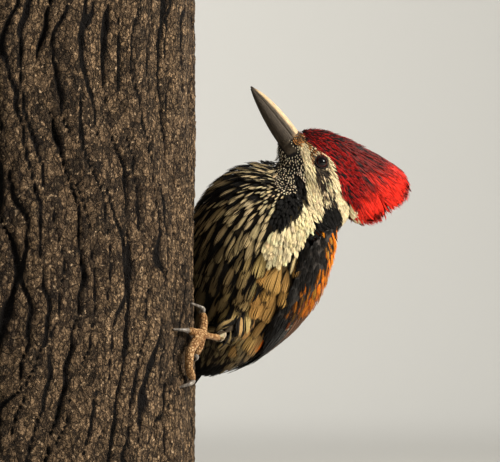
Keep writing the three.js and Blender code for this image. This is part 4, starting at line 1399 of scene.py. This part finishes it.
def grown(name, where, rng, **options):
    """A batch of one place's feathers, from the roots picked, with their colours, streaks and map."""
    length, width, _, outline, reach, start, end, strands = FEATHERS[name]
    points, labels = roots[where], root_labels[where]
    count = len(points)
    at, angle, _ = along_body(points)
    back, left, up, level = along_head(points)
    on_body = name in ("breast", "belly", "flank", "vent", "mantle", "rump")
    size = 1 + (0.15 if on_body else 0.1) * rng.normal(size=count).clip(-2, 2)
    if name == "breast":
        size = size * growth(points)
    if name == "throat":
        size = size * (0.8 + 0.5 * eased(back, 4, 26))
    if name == "cream":
        size = size * (0.85 + 0.5 * eased(back, 22, 40))
    if name == "crown":
        size = size * np.interp(back, (-2, 8, 20), (0.45, 0.75, 1.15))
    if name == "thigh":
        size = size * (1 - 0.5 * (1 - eased(from_feet(points), 12, 24)))
    if name in ("cream", "black"):
        size = size * np.where(labels == "head", 1 + 0.7 * eased(back, 36, 46), 1)
    sizes = np.stack([length * size, width * size * (1 + 0.1 * rng.normal(size=count))], 1)

    def lie(p):
        return lie_of_coat(p, labels)

    tree = crown_tree if name == "crown" else form_tree
    _, normals, _ = touch(tree, points)
    ways = turned(
        across_way(lie(points), normals), normals, rng.normal(size=count) * (0.17 if on_body else 0.12)
    )
    if name in ("cream", "puff"):
        puffs = np.array([noise.noise(Vector(p / 4.5)) for p in points])
        options["rise"] = options["rise"] + np.where(labels == "head", 0.3, 1.6) * (0.5 + puffs).clip(0, 1)
    shaft, outs = lay_lines(tree, points, ways, sizes[:, 0], outline, lie, **options)
    stray = 0.07 if name in ("cream", "puff", "belly", "flank") else 0.12
    webs = split_vanes(shaft, outs, sizes[:, 1], outline, strands, rng, stray=stray)
    core = varied(CORE[name], count, rng, 0.06 if name in ("cream", "puff") else 0.12)
    edge = varied(EDGE[name], count, rng, 0.1)
    loose = 2.0 if on_body else 1.0
    reaches = [reach * (1 + 0.12 * loose * rng.normal(size=count))]
    reaches += [
        mark + slack * loose * rng.normal(size=count) for mark, slack in ((start, 0.05), (end, 0.03))
    ]
    reaches = np.stack(reaches, 1)
    # Higher puffs are painted lighter and lower ones darker: painted light and shade over the puffs.
    if name in ("cream", "puff"):
        puff_light_and_shade = 0.9 + 0.35 * puffs[:, None]
        core[:, :3] *= puff_light_and_shade
        edge[:, :3] *= puff_light_and_shade
    if name == "thigh":
        luck = rng.random(count)
        for low, high, tone in ((0.32, 0.68, shade(140, 118, 84)), (0.68, 1.0, shade(74, 60, 44))):
            those = (luck > low) & (luck <= high)
            core[those] = varied(tone, those.sum(), rng, 0.15)
    if name == "ear":
        luck = rng.random(count) + 0.5 * eased(back, 32, 40) + 0.4 * (1 - eased(back, 19, 25))
        pale, brown = luck < 0.41, (luck > 0.41) & (luck < 0.57)
        core[pale] = varied(CORE["cream"], pale.sum(), rng)
        core[brown] = varied(shade(134, 116, 92), brown.sum(), rng)
        dark = eased(back, 30, 38)[:, None] * (~pale)[:, None]
        core = core * (1 - dark) + edge * dark
    if name == "brow":
        pale = rng.random(count) < 0.28
        core[pale, :3] = np.array(CORE["cream"][:3]) * 0.8
        forehead = (np.hypot(back - 0.5, level - 6.2) < 5.5) & (rng.random(count) < 0.6)
        core[forehead] = varied(shade(192, 134, 74), forehead.sum(), rng, 0.2)
        edge[forehead, :3] = shade(78, 48, 30)[:3]
    if name == "crown":
        black = rng.random(count) < 0.6
        edge[black] = varied(shade(24, 14, 16), black.sum(), rng)
        core[rng.random(count) < 0.22] = shade(24, 14, 16)
    if name == "breast":
        far = (1.15 - growth(points)).clip(0, 1)[:, None]
        core[:, :3] = core[:, :3] * far + np.array(shade(196, 170, 120)[:3]) * (1 - far)
        core[rng.random(count) < 0.16] = shade(24, 20, 17)
        dark = np.hypot(points[:, 0] - CAD_SHIFT[0] - 31, (points[:, 2] - 210) * 1.6) < 9
        reaches[dark & (rng.random(count) < 0.7), 0] *= 0.4
    if name in ("belly", "flank", "vent"):
        none = rng.random(count) < (0.16 if name != "flank" else 0.06)
        reaches[none, 0] *= 0.4
        # Towards the underside and the rear the tone is dulled and darkened and the pale streaks narrowed:
        # painted shade where the body turns away from the light.
        painted_shade = (eased(-angle, 35, 80) * (at > 30) + 0.5 * eased(at, 66, 100))[:, None].clip(0, 1)
        dull = np.array(shade(132, 116, 84)[:3]) * (0.8 + 0.4 * rng.random((count, 1)))
        core[:, :3] = core[:, :3] * (1 - painted_shade) + dull * painted_shade
        reaches[:, 0] *= 1 - 0.25 * painted_shade[:, 0]
    if name == "mantle":
        gold = rng.random(count) < 0.3
        core[gold, :3] = shade(206, 150, 44)[:3]
        dark = rng.random(count) < 1.2 * (1 - eased(at, 20, 34))
        core[dark], edge[dark] = CORE["black"], EDGE["black"]
    luck = 0.3 + 0.4 * rng.random(count) if name in ("cream", "puff") else rng.random(count)
    return webs, core, edge, reaches, root_map(points), PATCH, luck


face_vanes = feather_material("face_feathers", 3.0, 0.03, 0.2, 0.75, 0.02, 0.84)
body_vanes = feather_material("body_feathers", 14.0, 0.07, 0.18)
LAY = {  # how deep each kind is rooted under the coat and how far its tip stands up
    "cream": (1.3, 0.15), "puff": (1.6, 0.2), "brow": (0.9, 0.1), "crown": (1.2, 0.6),
    "ear": (1.3, 0.12), "throat": (1.2, 0.2), "black": (2.2, 0.25), "breast": (2.4, 0.35),
    "belly": (2.8, 0.5), "flank": (2.8, 0.6), "vent": (2.4, 0.5), "mantle": (2.6, 0.4),
    "rump": (2.4, 0.4), "thigh": (1.6, 0.8),
}
SHEETS = {
    "plumage_head": (["cream", "puff", "brow", "crown", "ear", "throat"], face_vanes, ["head", "neck"]),
    "plumage_nape": (["black"], body_vanes, ["neck"]),
    "plumage_breast": (["breast"], body_vanes, ["torso"]),
    "plumage_belly": (["belly", "flank", "vent"], body_vanes, ["torso"]),
    "plumage_back": (["mantle", "rump"], body_vanes, ["torso"]),
    "plumage_thighs": (["thigh"], body_vanes, ["thigh_left", "thigh_right"]),
}
for piece_name, (places, material, nodes) in SHEETS.items():
    batches = []
    for name in places:
        here = root_places == PLACES.index(name)
        nape = (root_labels == "head") & (along_head(roots)[0] > 32) & (name in ("cream", "black"))
        for group, cling in ((here & ~nape, 1.0), (here & nape, 0.25)):
            if group.any():
                depth, rise = LAY[name]
                batches.append(grown(name, np.flatnonzero(group), rng, cling=cling, depth=depth, rise=rise))
    coat = coat_piece(piece_name, batches, material)
    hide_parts(*nodes)


# ---- Crest ----------------------------------------------------------------------------
# Long hair-like feathers spring from the crown and sweep back over each other to a
# ragged fan. Those in front are black with scarlet tips, those behind scarlet all over.

CREST_END = 63.0
CREST_LOCKS = 44
SCARLET = shade(220, 36, 18)
SCARLET_DEEP = shade(112, 20, 17)
MAROON = shade(56, 10, 12)

crest_form = remeshed("crest_form", joined("crest_form", ["crest"], 0.0), 0.0011)
crest_form.vertices.foreach_set("co", settle(crest_form, corners_of(crest_form), 6, 0.6).ravel())
crest_form.update()
crest_tree = tree_of(crest_form)


def lie_of_crest(points):
    """Back and up from the forehead, turning down towards the nape along the lower edge."""
    back, left, up, level = along_head(points)
    lean = np.interp(level - back * 0.12, (2, 12, 26), (-0.2, 0.0, 0.46))
    lean = lean * (1 - 0.5 * eased(back, 30, 60))
    return unit(-head_ahead + lean[:, None] * head_up - 0.004 * left[:, None] * head_left)


def gathered(shaft, rng, locks, pull):
    """Draws strands towards the tips of a few of them, longer and shorter, as a crest parts into locks."""
    tips = shaft[:, -1]
    chosen = rng.choice(len(shaft), locks, replace=False)
    nearest = np.linalg.norm(tips[:, None] - tips[chosen][None], axis=2).argmin(1)
    stretch = (0.12 * rng.normal(size=locks).clip(-2, 1.2) - 0.04)[nearest]
    share = np.linspace(0, 1, shaft.shape[1])[None, :, None] ** 1.8
    moved = shaft + (tips[chosen][nearest] - tips)[:, None] * share * pull[:, None, None]
    return moved + (moved - moved[:, :1]) * stretch[:, None, None] * share


def crest_batch(points, tree, layer, rng):
    """Strands from roots on the crest: on its outside (layer 0) or within it."""
    back, left, up, level = along_head(points)
    count = len(points)
    length = np.interp(back, (-2, 6, 16, 28, 45), (3.5, 5.5, 9.0, 15.0, 18.0))
    length = length * (1 + 0.14 * rng.normal(size=count).clip(-2, 2))
    length = np.minimum(length, CREST_END - 0.5 + 1.6 * rng.normal(size=count) - back).clip(3, 30)
    width = 1.1 * (1 + 0.2 * rng.random(count))
    places = markings(points, np.repeat("crest", count))
    plain = np.isin(places, [PLACES.index(n) for n in ("cream", "puff", "black", "ear")])
    length = np.where(plain, np.minimum(length, 6.0), length)
    spots, normals, _ = touch(tree, points)
    flow = np.where(plain[:, None], lie_of_coat(points, np.repeat("head", count)), lie_of_crest(points))
    ways = turned(across_way(flow, normals), normals, rng.normal(size=count) * 0.09)
    if layer:
        shaft, outs = lay_lines(
            tree, points, lie_of_crest(points), length, "hair", lie_of_crest, 0.0, 0.0, cling=0.0, sweep=0.3
        )
        shaft = shaft - shaft[:, :1] + points[:, None]
    else:
        shaft, outs = lay_lines(
            tree, points, ways, length, "hair", lie_of_crest, 1.5, 0.35, cling=0.85, sweep=0.35
        )
    shaft = gathered(shaft, rng, CREST_LOCKS, 0.15 + 0.5 * eased(back, 18, 40))
    webs = split_vanes(shaft, outs, width, "hair", 2, rng, ragged=0.3, roll=0.25, stray=0.3)
    red = eased(back - 0.12 * (level - 12) + 2.5 * rng.normal(size=count), 25, 40)[:, None]
    core = varied(SCARLET, count, rng, 0.12, 0.04) * red
    core = core + varied(SCARLET_DEEP, count, rng, 0.18, 0.04) * (1 - red)
    edge = varied(shade(176, 22, 14), count, rng, 0.2) * red + varied(MAROON, count, rng, 0.3) * (1 - red)
    black = rng.random(count) < 0.62 * (1 - red[:, 0]) ** 1.4
    edge[black] = varied(shade(24, 14, 16), black.sum(), rng)
    start = np.interp(back + 2 * rng.normal(size=count), (0, 14, 32), (0.5, 0.5, -0.3))
    all_black = black & (rng.random(count) < 0.35)
    core[all_black] = edge[all_black]
    streak = np.stack([np.full(count, 0.95), start, np.full(count, 1.3)], 1)
    for name in ("cream", "black", "ear"):
        those = places == PLACES.index(name)
        core[those] = varied(CORE[name], those.sum(), rng)
        edge[those] = varied(EDGE[name], those.sum(), rng)
        streak[those] = (1.2, -0.2, 1.3)
    return webs, core, edge, streak, root_map(points), PATCH, rng.random(count)


crest_seeds = strewn(crest_form, 16000, rng)
seed_back, seed_left, seed_up, seed_level = along_head(crest_seeds)
crest_seeds = crest_seeds[(seed_back < 51) & (seed_level > 3.4)]
outer = crest_seeds[thinned(crest_seeds, np.full(len(crest_seeds), 0.95), rng)]
inner = crest_seeds[rng.permutation(len(crest_seeds))[:1900]]
seed_back, seed_left, seed_up, _ = along_head(inner)
seed_left = seed_left * rng.random(len(inner)) * 0.9
middle_up = np.interp(seed_back, (0, 12, 22, 32, 43, 52, 60), (8, 15, 17, 17, 19, 21, 23))
seed_up = middle_up + (seed_up - middle_up) * (0.35 + 0.6 * rng.random(len(inner)))
inner = on_head(seed_back[:, None], seed_left[:, None], seed_up[:, None])
inner = inner[(seed_back > 14) & (seed_up * math.cos(HEAD_ROLL) > 7)]
crest_vanes = feather_material("crest_feathers", 2.0, 0.03, 0.16, 0.5, 0.05)
crest = coat_piece(
    "plumage_crest", [crest_batch(outer, crown_tree, 0, rng), crest_batch(inner, crest_tree, 1, rng)],
    crest_vanes
)
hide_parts("crest")

down_shape = corners_of(crest_form) - normals_of(crest_form) * 0.0022
back, left, up, _ = along_head(down_shape / MM)
down_shape = down_shape + (np.maximum(back - 40, 0) * 0.75)[:, None] * head_ahead * MM
crest_form.vertices.foreach_set("co", settle(crest_form, down_shape, 6, 0.6).ravel())
fluff, tree, skin, place = start_material("crest_down", 0.85)
down = ramp(tree, grain(tree, place, 500), 0.35, 0.65)
feed(tree, skin.inputs["Base Color"], mixed(tree, down, shade(66, 8, 8), shade(110, 12, 10)))
feed(tree, skin.inputs["Roughness"], ramp(tree, grain(tree, place, 300), 0.3, 0.7, 0.8, 0.95))
raise_surface(tree, skin, grain(tree, place, 900), 0.0003)
crest_down = add_object("crest_down", crest_form, fluff)
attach(crest_down, "root")
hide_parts("crest")

# ---- Wings ----------------------------------------------------------------------------
# Each folded wing is shingled with coverts at the shoulder and stacked quills behind:
# black primaries along the lower edge, notched with white, and golden secondaries over them.

WING_LINE = [  # along the body: the folded wing's lower and upper edge, in degrees round it
    (25, 14, 34), (34, -6, 52), (48, -10, 68), (70, -7, 76),
    (88, 16, 81), (97, 30, 84), (106, 50, 85), (114, 68, 84),
]
GOLD = shade(250, 140, 10)
GOLD_DEEP = shade(206, 92, 8)
OLIVE_GOLD = shade(178, 122, 36)
# The secondaries' gold, darkened: painted shade over the wing's lower part.
GOLD_IN_SHADE = shade(104, 56, 12)
QUILL_BLACK = shade(13, 11, 10)
QUILL_SPOT = shade(160, 140, 112)


def wing_edge(at, column):
    """The folded wing's lower edge (column 1) or upper edge (column 2), in degrees round the body."""
    line = np.array(WING_LINE, float)
    return np.interp(at, line[:, 0], line[:, column])


def wing_spots(side, at, angle):
    """Places on the folded wing, from the way along the body and the angle round it (degrees)."""
    centre, out_left, out_back = (
        np.stack([np.interp(at, line_at, v[:, k]) for k in range(3)], -1)
        for v in (line_points, line_left, line_back)
    )
    turn = np.radians(angle)[..., None]
    out = unit(side * out_left * np.cos(turn) + out_back * np.sin(turn))
    spots, normals = np.empty_like(centre), np.empty_like(centre)
    for index in np.ndindex(at.shape):
        hit, normal, _, _ = form_tree.ray_cast(
            Vector(centre[index] + out[index] * 80), Vector(-out[index]), 80
        )
        if hit is None:
            hit, normal = centre[index] + out[index] * 4, out[index]
        spots[index], normals[index] = hit, normal
    return spots, normals


def quills(side, ends, width, outline, strands, layer, rng, bend=1.0):
    """Long feathers along given ways over the wing, from (at, angle) to (at, angle), one per row of ends."""
    stations = np.array((0.0, *OUTLINES[outline][0], 1.0))
    at = ends[:, 0:1] + (ends[:, 2:3] - ends[:, 0:1]) * stations
    turn = stations ** bend
    angle = ends[:, 1:2] + (ends[:, 3:4] - ends[:, 1:2]) * turn
    spots, normals = wing_spots(side, at, angle)
    normals = unit(0.5 * normals + 0.25 * np.roll(normals, 1, 1) + 0.25 * np.roll(normals, -1, 1))
    normals[:, 0] = normals[:, 1]
    normals[:, -1] = normals[:, -2]
    shaft = spots + normals * (layer[:, None, None] - 0.9 * (1 - stations)[None, :, None] ** 3)
    return split_vanes(
        shaft, normals, width, outline, strands, rng, bow=0.12, notch=0.1, ragged=0.035, roll=0.02,
        stray=0.02
    ), spots[:, 0]


OUTLINES["quill"] = (
    (0.05, 0.2, 0.35, 0.5, 0.65, 0.8, 0.91, 0.97), (0.4, 0.8, 1.0, 1.0, 1.0, 0.92, 0.75, 0.5)
)


def covert_batch(side, points, rng):
    """Small coverts over the shoulder, growing down the wing; black along the lower edge."""
    at, angle, way = along_body(points)
    angle = angle if side > 0 else 180 - angle
    angle = np.where(angle > 180, angle - 360, angle)
    count = len(points)
    size = np.interp(at, (26, 40, 55, 70), (6.0, 8.0, 12.0, 16.0))
    size = size * (1 + 0.1 * rng.normal(size=count).clip(-2, 2))
    width = size * np.interp(at, (26, 70), (0.46, 0.4))

    def lie(p):
        _, _, along = along_body(p)
        return unit(along + 0.12 * line_back[200])

    spots, normals, _ = touch(form_tree, points)
    ways = turned(across_way(lie(points), normals), normals, rng.normal(size=count) * 0.09)
    shaft, outs = lay_lines(form_tree, points, ways, size, "round", lie, 1.5, 0.35)
    webs = split_vanes(shaft, outs, width, "round", 6, rng, bow=0.2)
    border = np.interp(at, (26, 31, 36, 41, 44, 49, 56, 64, 72, 92), (14, 15, 13, 3, -4, -8, -1, 5, 13, 36))
    border = border + 2.2 * rng.normal(size=count)
    black = angle < border
    core, edge = varied(GOLD, count, rng, 0.14, 0.08), varied(GOLD_DEEP, count, rng, 0.2, 0.08)
    olive = rng.random(count) < 0.22
    core[olive] = varied(OLIVE_GOLD, olive.sum(), rng)
    # Coverts further down the wing are darkened: painted shade.
    painted_shade = np.interp(at, (34, 48, 66), (1, 0.55, 0.26))[:, None]
    core[:, :3] *= painted_shade
    edge[:, :3] *= painted_shade
    streak = np.stack([np.full(count, 0.62), np.full(count, 0.05), np.full(count, 1.3)], 1)
    core[black] = varied(shade(17, 14, 12), black.sum(), rng)
    edge[black] = varied(QUILL_BLACK, black.sum(), rng)
    spotted = black & (rng.random(count) < 0.1) & (angle > border - 24) & (at > 38) & (at < 62)
    core[spotted] = varied(shade(236, 150, 60), spotted.sum(), rng, 0.08)
    streak[spotted] = (0.6, 0.66, 0.95)
    brown = ~black & (angle < border + 14) & (rng.random(count) < 0.7)
    edge[brown] = varied(shade(60, 34, 18), brown.sum(), rng)
    core[brown, :3] *= 0.6
    streak[brown, 0] = 0.4
    return webs, core, edge, streak, root_map(points), PATCH, rng.random(count)


def flight_material():
    """Flight feathers: the vane's paint, with rows of white notches on the outer web of the dark ones."""
    made, tree, skin, place = start_material("flight_feathers", 0.5)
    paint = tree.nodes.new("ShaderNodeGroup")
    paint.node_tree = vane_paint
    paint.inputs["Barbs"].default_value = 60
    paint.inputs["Barb Depth"].default_value = 0.12
    along, across, luck = split(tree, named(tree, "vane", "Vector"))
    notch = figure(tree, "SINE", figure(tree, "MULTIPLY", along, 40.0))
    notch = figure(tree, "MULTIPLY", ramp(tree, notch, 0.55, 0.8), ramp(tree, across, 0.35, 0.5))
    notch = figure(tree, "MULTIPLY", notch, named(tree, "notched", "Fac"))
    feed(tree, skin.inputs["Base Color"], mixed(tree, notch, paint.outputs["Color"], QUILL_SPOT))
    skin.inputs["Sheen Weight"].default_value = 0.04
    skin.inputs["Specular IOR Level"].default_value = 0.18
    raise_surface(tree, skin, paint.outputs["Height"], 0.0001, 0.5)
    soften(tree, skin, 0.4)
    return made


flight = flight_material()
underwing = remeshed("underwing", joined("underwing", ["wing_left", "wing_right"], 0.0), 0.0009)
underwing.vertices.foreach_set(
    "co", (settle(underwing, corners_of(underwing) - normals_of(underwing) * 0.0005, 4, 0.6)).ravel()
)
web, tree, skin, place = start_material("underwing", 0.8)
down = ramp(tree, grain(tree, place, 400), 0.35, 0.65)
feed(tree, skin.inputs["Base Color"], mixed(tree, down, shade(20, 17, 15), shade(40, 32, 26)))
feed(tree, skin.inputs["Roughness"], ramp(tree, grain(tree, place, 300), 0.3, 0.7, 0.7, 0.9))
raise_surface(tree, skin, grain(tree, place, 700, 2, (1, 1, 0.3)), 0.0003)
underside = add_object("underwing", underwing, web)
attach(underside, "root")
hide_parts("wing_left", "wing_right")
for name, side in (("wing_left", 1), ("wing_right", -1)):
    wing_seeds = strewn(coat_form, 60000, rng)
    at, angle, _ = along_body(wing_seeds)
    angle = angle if side > 0 else 180 - angle
    angle = np.where(angle > 180, angle - 360, angle)
    inside = (at > 24.5) & (at < 74) & (angle > wing_edge(at, 1) - 2) & (angle < wing_edge(at, 2) + 2)
    wing_seeds, at = wing_seeds[inside], at[inside]
    spacing = np.interp(at, (26, 40, 55, 70), (2.2, 2.8, 4.0, 5.2))
    coverts = wing_seeds[thinned(wing_seeds, spacing, rng)]
    small = covert_batch(side, coverts, rng)
    batches = []
    secondaries = np.array([(62 + 1.0 * i, 13 + 7.2 * i, 95 + 1.3 * i, 40 + 5.0 * i) for i in range(9)])
    primaries = np.array([(62 + 1.2 * i, -2 + 4.2 * i, 93 + 2.8 * i, 22 + 6.5 * i) for i in range(8)])
    for ends, wide, colour, dark, base in (
        # The secondaries take the darkened gold: painted shade.
        (primaries, 7.6, QUILL_BLACK, 1.0, 0.0), (secondaries, 8.4, GOLD_IN_SHADE, 0.0, 0.55)
    ):
        count = len(ends)
        layer = base + 0.16 * np.arange(count)
        webs, feet = quills(side, ends, np.full(count, wide), "quill", 5, layer, rng, 1.3)
        core = varied(colour, count, rng, 0.1)
        edge = varied(QUILL_BLACK if dark else shade(62, 34, 12), count, rng, 0.12)
        streak = np.tile((0.7, 0.0, 1.3), (count, 1))
        batches.append(
            (webs, core, edge, streak, root_map(feet), np.array((0.012, 0.05)), rng.random(count))
        )
    plumes = coat_piece(name + "_quills", batches, flight)
    notched = [np.full(batch[0][0].shape[:2], share).ravel() for batch, share in zip(batches, (1.0, 0.0))]
    plumes.data.attributes.new("notched", "FLOAT", "POINT").data.foreach_set(
        "value", np.concatenate(notched)
    )
    shoulder = coat_piece(name + "_coverts", [small], body_vanes)
    for piece in (plumes, shoulder):
        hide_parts(name)

# ---- Tail -----------------------------------------------------------------------------
# Four pairs of stiff black feathers, stacked in a closed fan with the middle pair on top.
# Each has a thick horn shaft and a worn point that props the bird on the bark.

RECTRIX_PAIRS = 4
TAIL_STEPS = 41


def tail_line():
    """The tail's middle line from the rump to where its tip rests on the bark, and its outward way."""
    root = np.array([5, 62.5, 121]) + CAD_SHIFT
    turn, z, lift = math.radians(74), 64, 5
    radius = bark_radius(turn, z) + lift
    tip = np.array([TRUNK_AXIS_X + radius * math.cos(turn), radius * math.sin(turn), z])
    out = np.array([math.sin(FACING), math.cos(FACING), 0])
    middle = root + (tip - root) * 0.55 + out * 4
    t = np.linspace(0, 1, TAIL_STEPS)[:, None]
    return (1 - t) * (1 - 2 * t) * root + 4 * t * (1 - t) * middle + t * (2 * t - 1) * tip, out


tail_points, tail_out = tail_line()
OUTLINES["rectrix"] = ((0.06, 0.25, 0.45, 0.62, 0.78, 0.88, 0.95), (0.6, 0.9, 1.0, 1.0, 0.8, 0.55, 0.3))
batches = []
for pair in range(RECTRIX_PAIRS):
    for side in (1, -1):
        stations = np.array((0.0, *OUTLINES["rectrix"][0], 1.0))
        reach = stations * (1.03 - 0.06 * pair**1.5)
        shaft = np.stack(
            [np.interp(reach, np.linspace(0, 1, TAIL_STEPS), tail_points[:, k]) for k in range(3)], -1
        )
        run = unit(np.gradient(shaft, axis=0))
        across = unit(np.cross(tail_out, run))
        out = np.cross(run, across)
        fanned = side * (1.1 + pair * 2.7) * (0.35 + 0.65 * stations)
        shaft = shaft + across * fanned[:, None] + out * (0.7 - 0.4 * pair)
        webs = split_vanes(
            shaft[None], out[None], np.array([10.4]), "rectrix", 5, rng, bow=0.16, notch=0.05, ragged=0.05,
            roll=0.0, stray=0.02
        )
        core, edge = varied(shade(58, 44, 34), 1, rng, 0.05), varied(QUILL_BLACK, 1, rng, 0.1)
        spot = np.array([[0.5 + side * (0.05 + 0.1 * pair), 0.5]])
        batches.append(
            (webs, core, edge, np.array([[0.1, 0.0, 1.1]]), spot, np.array((0.06, 0.4)), rng.random(1))
        )
tail = coat_piece("tail_quills", batches, flight)
tail.data.attributes.new("notched", "FLOAT", "POINT")
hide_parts("tail")
bpy.data.objects.remove(mapper)

# ---- Studio -------------------------------------------------------------------------
# A pale sweep of floor and backdrop, a large soft key from the right, a broad fill from
# the left, and a camera level with the bird. The sweep is clear when seen from behind.

FRAME_WIDE = 0.250
FRAME_MIDDLE = (0.0625, 0.0, 0.1845)
BIRD_DEPTH = 0.045
CAMERA_AWAY = 2.5

sweep_profile = [(-3.6, 0.0), (2.9, 0.0)] + [
    (2.9 + 0.9 * math.sin(a), 0.9 - 0.9 * math.cos(a)) for a in np.linspace(0.1, math.pi / 2, 14)
] + [(3.8, 4.5)]
sweep = bpy.data.meshes.new("studio_sweep")
sweep.from_pydata(
    [(x, y, z) for y, z in sweep_profile for x in (-4, 4)],
    [],
    [(2 * i, 2 * i + 1, 2 * i + 3, 2 * i + 2) for i in range(len(sweep_profile) - 1)],
)
card, tree, skin, place = start_material("studio_card", 0.9)
skin.inputs["Base Color"].default_value = shade(214, 213, 208)
behind = tree.nodes.new("ShaderNodeNewGeometry")
clear = tree.nodes.new("ShaderNodeBsdfTransparent")
one_sided = tree.nodes.new("ShaderNodeMixShader")
shown = next(node for node in tree.nodes if node.type == "OUTPUT_MATERIAL")
tree.links.new(behind.outputs["Backfacing"], one_sided.inputs["Fac"])
tree.links.new(skin.outputs["BSDF"], one_sided.inputs[1])
tree.links.new(clear.outputs["BSDF"], one_sided.inputs[2])
tree.links.new(one_sided.outputs["Shader"], shown.inputs["Surface"])
floor = add_object("studio_sweep", sweep, card)

world = bpy.data.worlds.new("studio")
bpy.context.scene.world = world
world.use_nodes = True
world.node_tree.nodes["Background"].inputs["Color"].default_value = shade(240, 240, 238)
world.node_tree.nodes["Background"].inputs["Strength"].default_value = 0.24


def soft_light(name, place, target, size, power, colour):
    lamp = bpy.data.lights.new(name, "AREA")
    lamp.shape = "RECTANGLE"
    lamp.size, lamp.size_y = size
    lamp.energy = power
    lamp.color = colour
    made = bpy.data.objects.new(name, lamp)
    made.location = place
    made.rotation_euler = (Vector(target) - Vector(place)).to_track_quat("-Z", "Y").to_euler()
    bpy.context.scene.collection.objects.link(made)


BIRD = (0.06, 0.045, 0.19)
soft_light("key", (1.35, -0.52, 0.9), BIRD, (0.5, 0.5), 50, (1.0, 0.93, 0.82))
soft_light("fill", (-1.0, -1.1, 0.5), BIRD, (1.2, 1.2), 3, (1.0, 0.98, 0.94))
soft_light("rim", (0.7, 1.0, 0.8), BIRD, (0.6, 0.6), 5, (1.0, 0.95, 0.88))
soft_light("backdrop", (-0.6, 2.7, 1.6), (0, 3.5, 0.4), (1.5, 1.5), 24, (1.0, 0.98, 0.95))

camera_data = bpy.data.cameras.new("camera")
camera_data.sensor_width = 36
camera_data.lens = 36 * CAMERA_AWAY / FRAME_WIDE
camera_data.clip_end = 30
camera = bpy.data.objects.new("camera", camera_data)
camera.location = (FRAME_MIDDLE[0], BIRD_DEPTH - CAMERA_AWAY, FRAME_MIDDLE[2])
camera.rotation_euler = (math.pi / 2, 0, 0)
bpy.context.scene.collection.objects.link(camera)
bpy.context.scene.camera = camera
bpy.context.scene.view_settings.view_transform = "Standard"
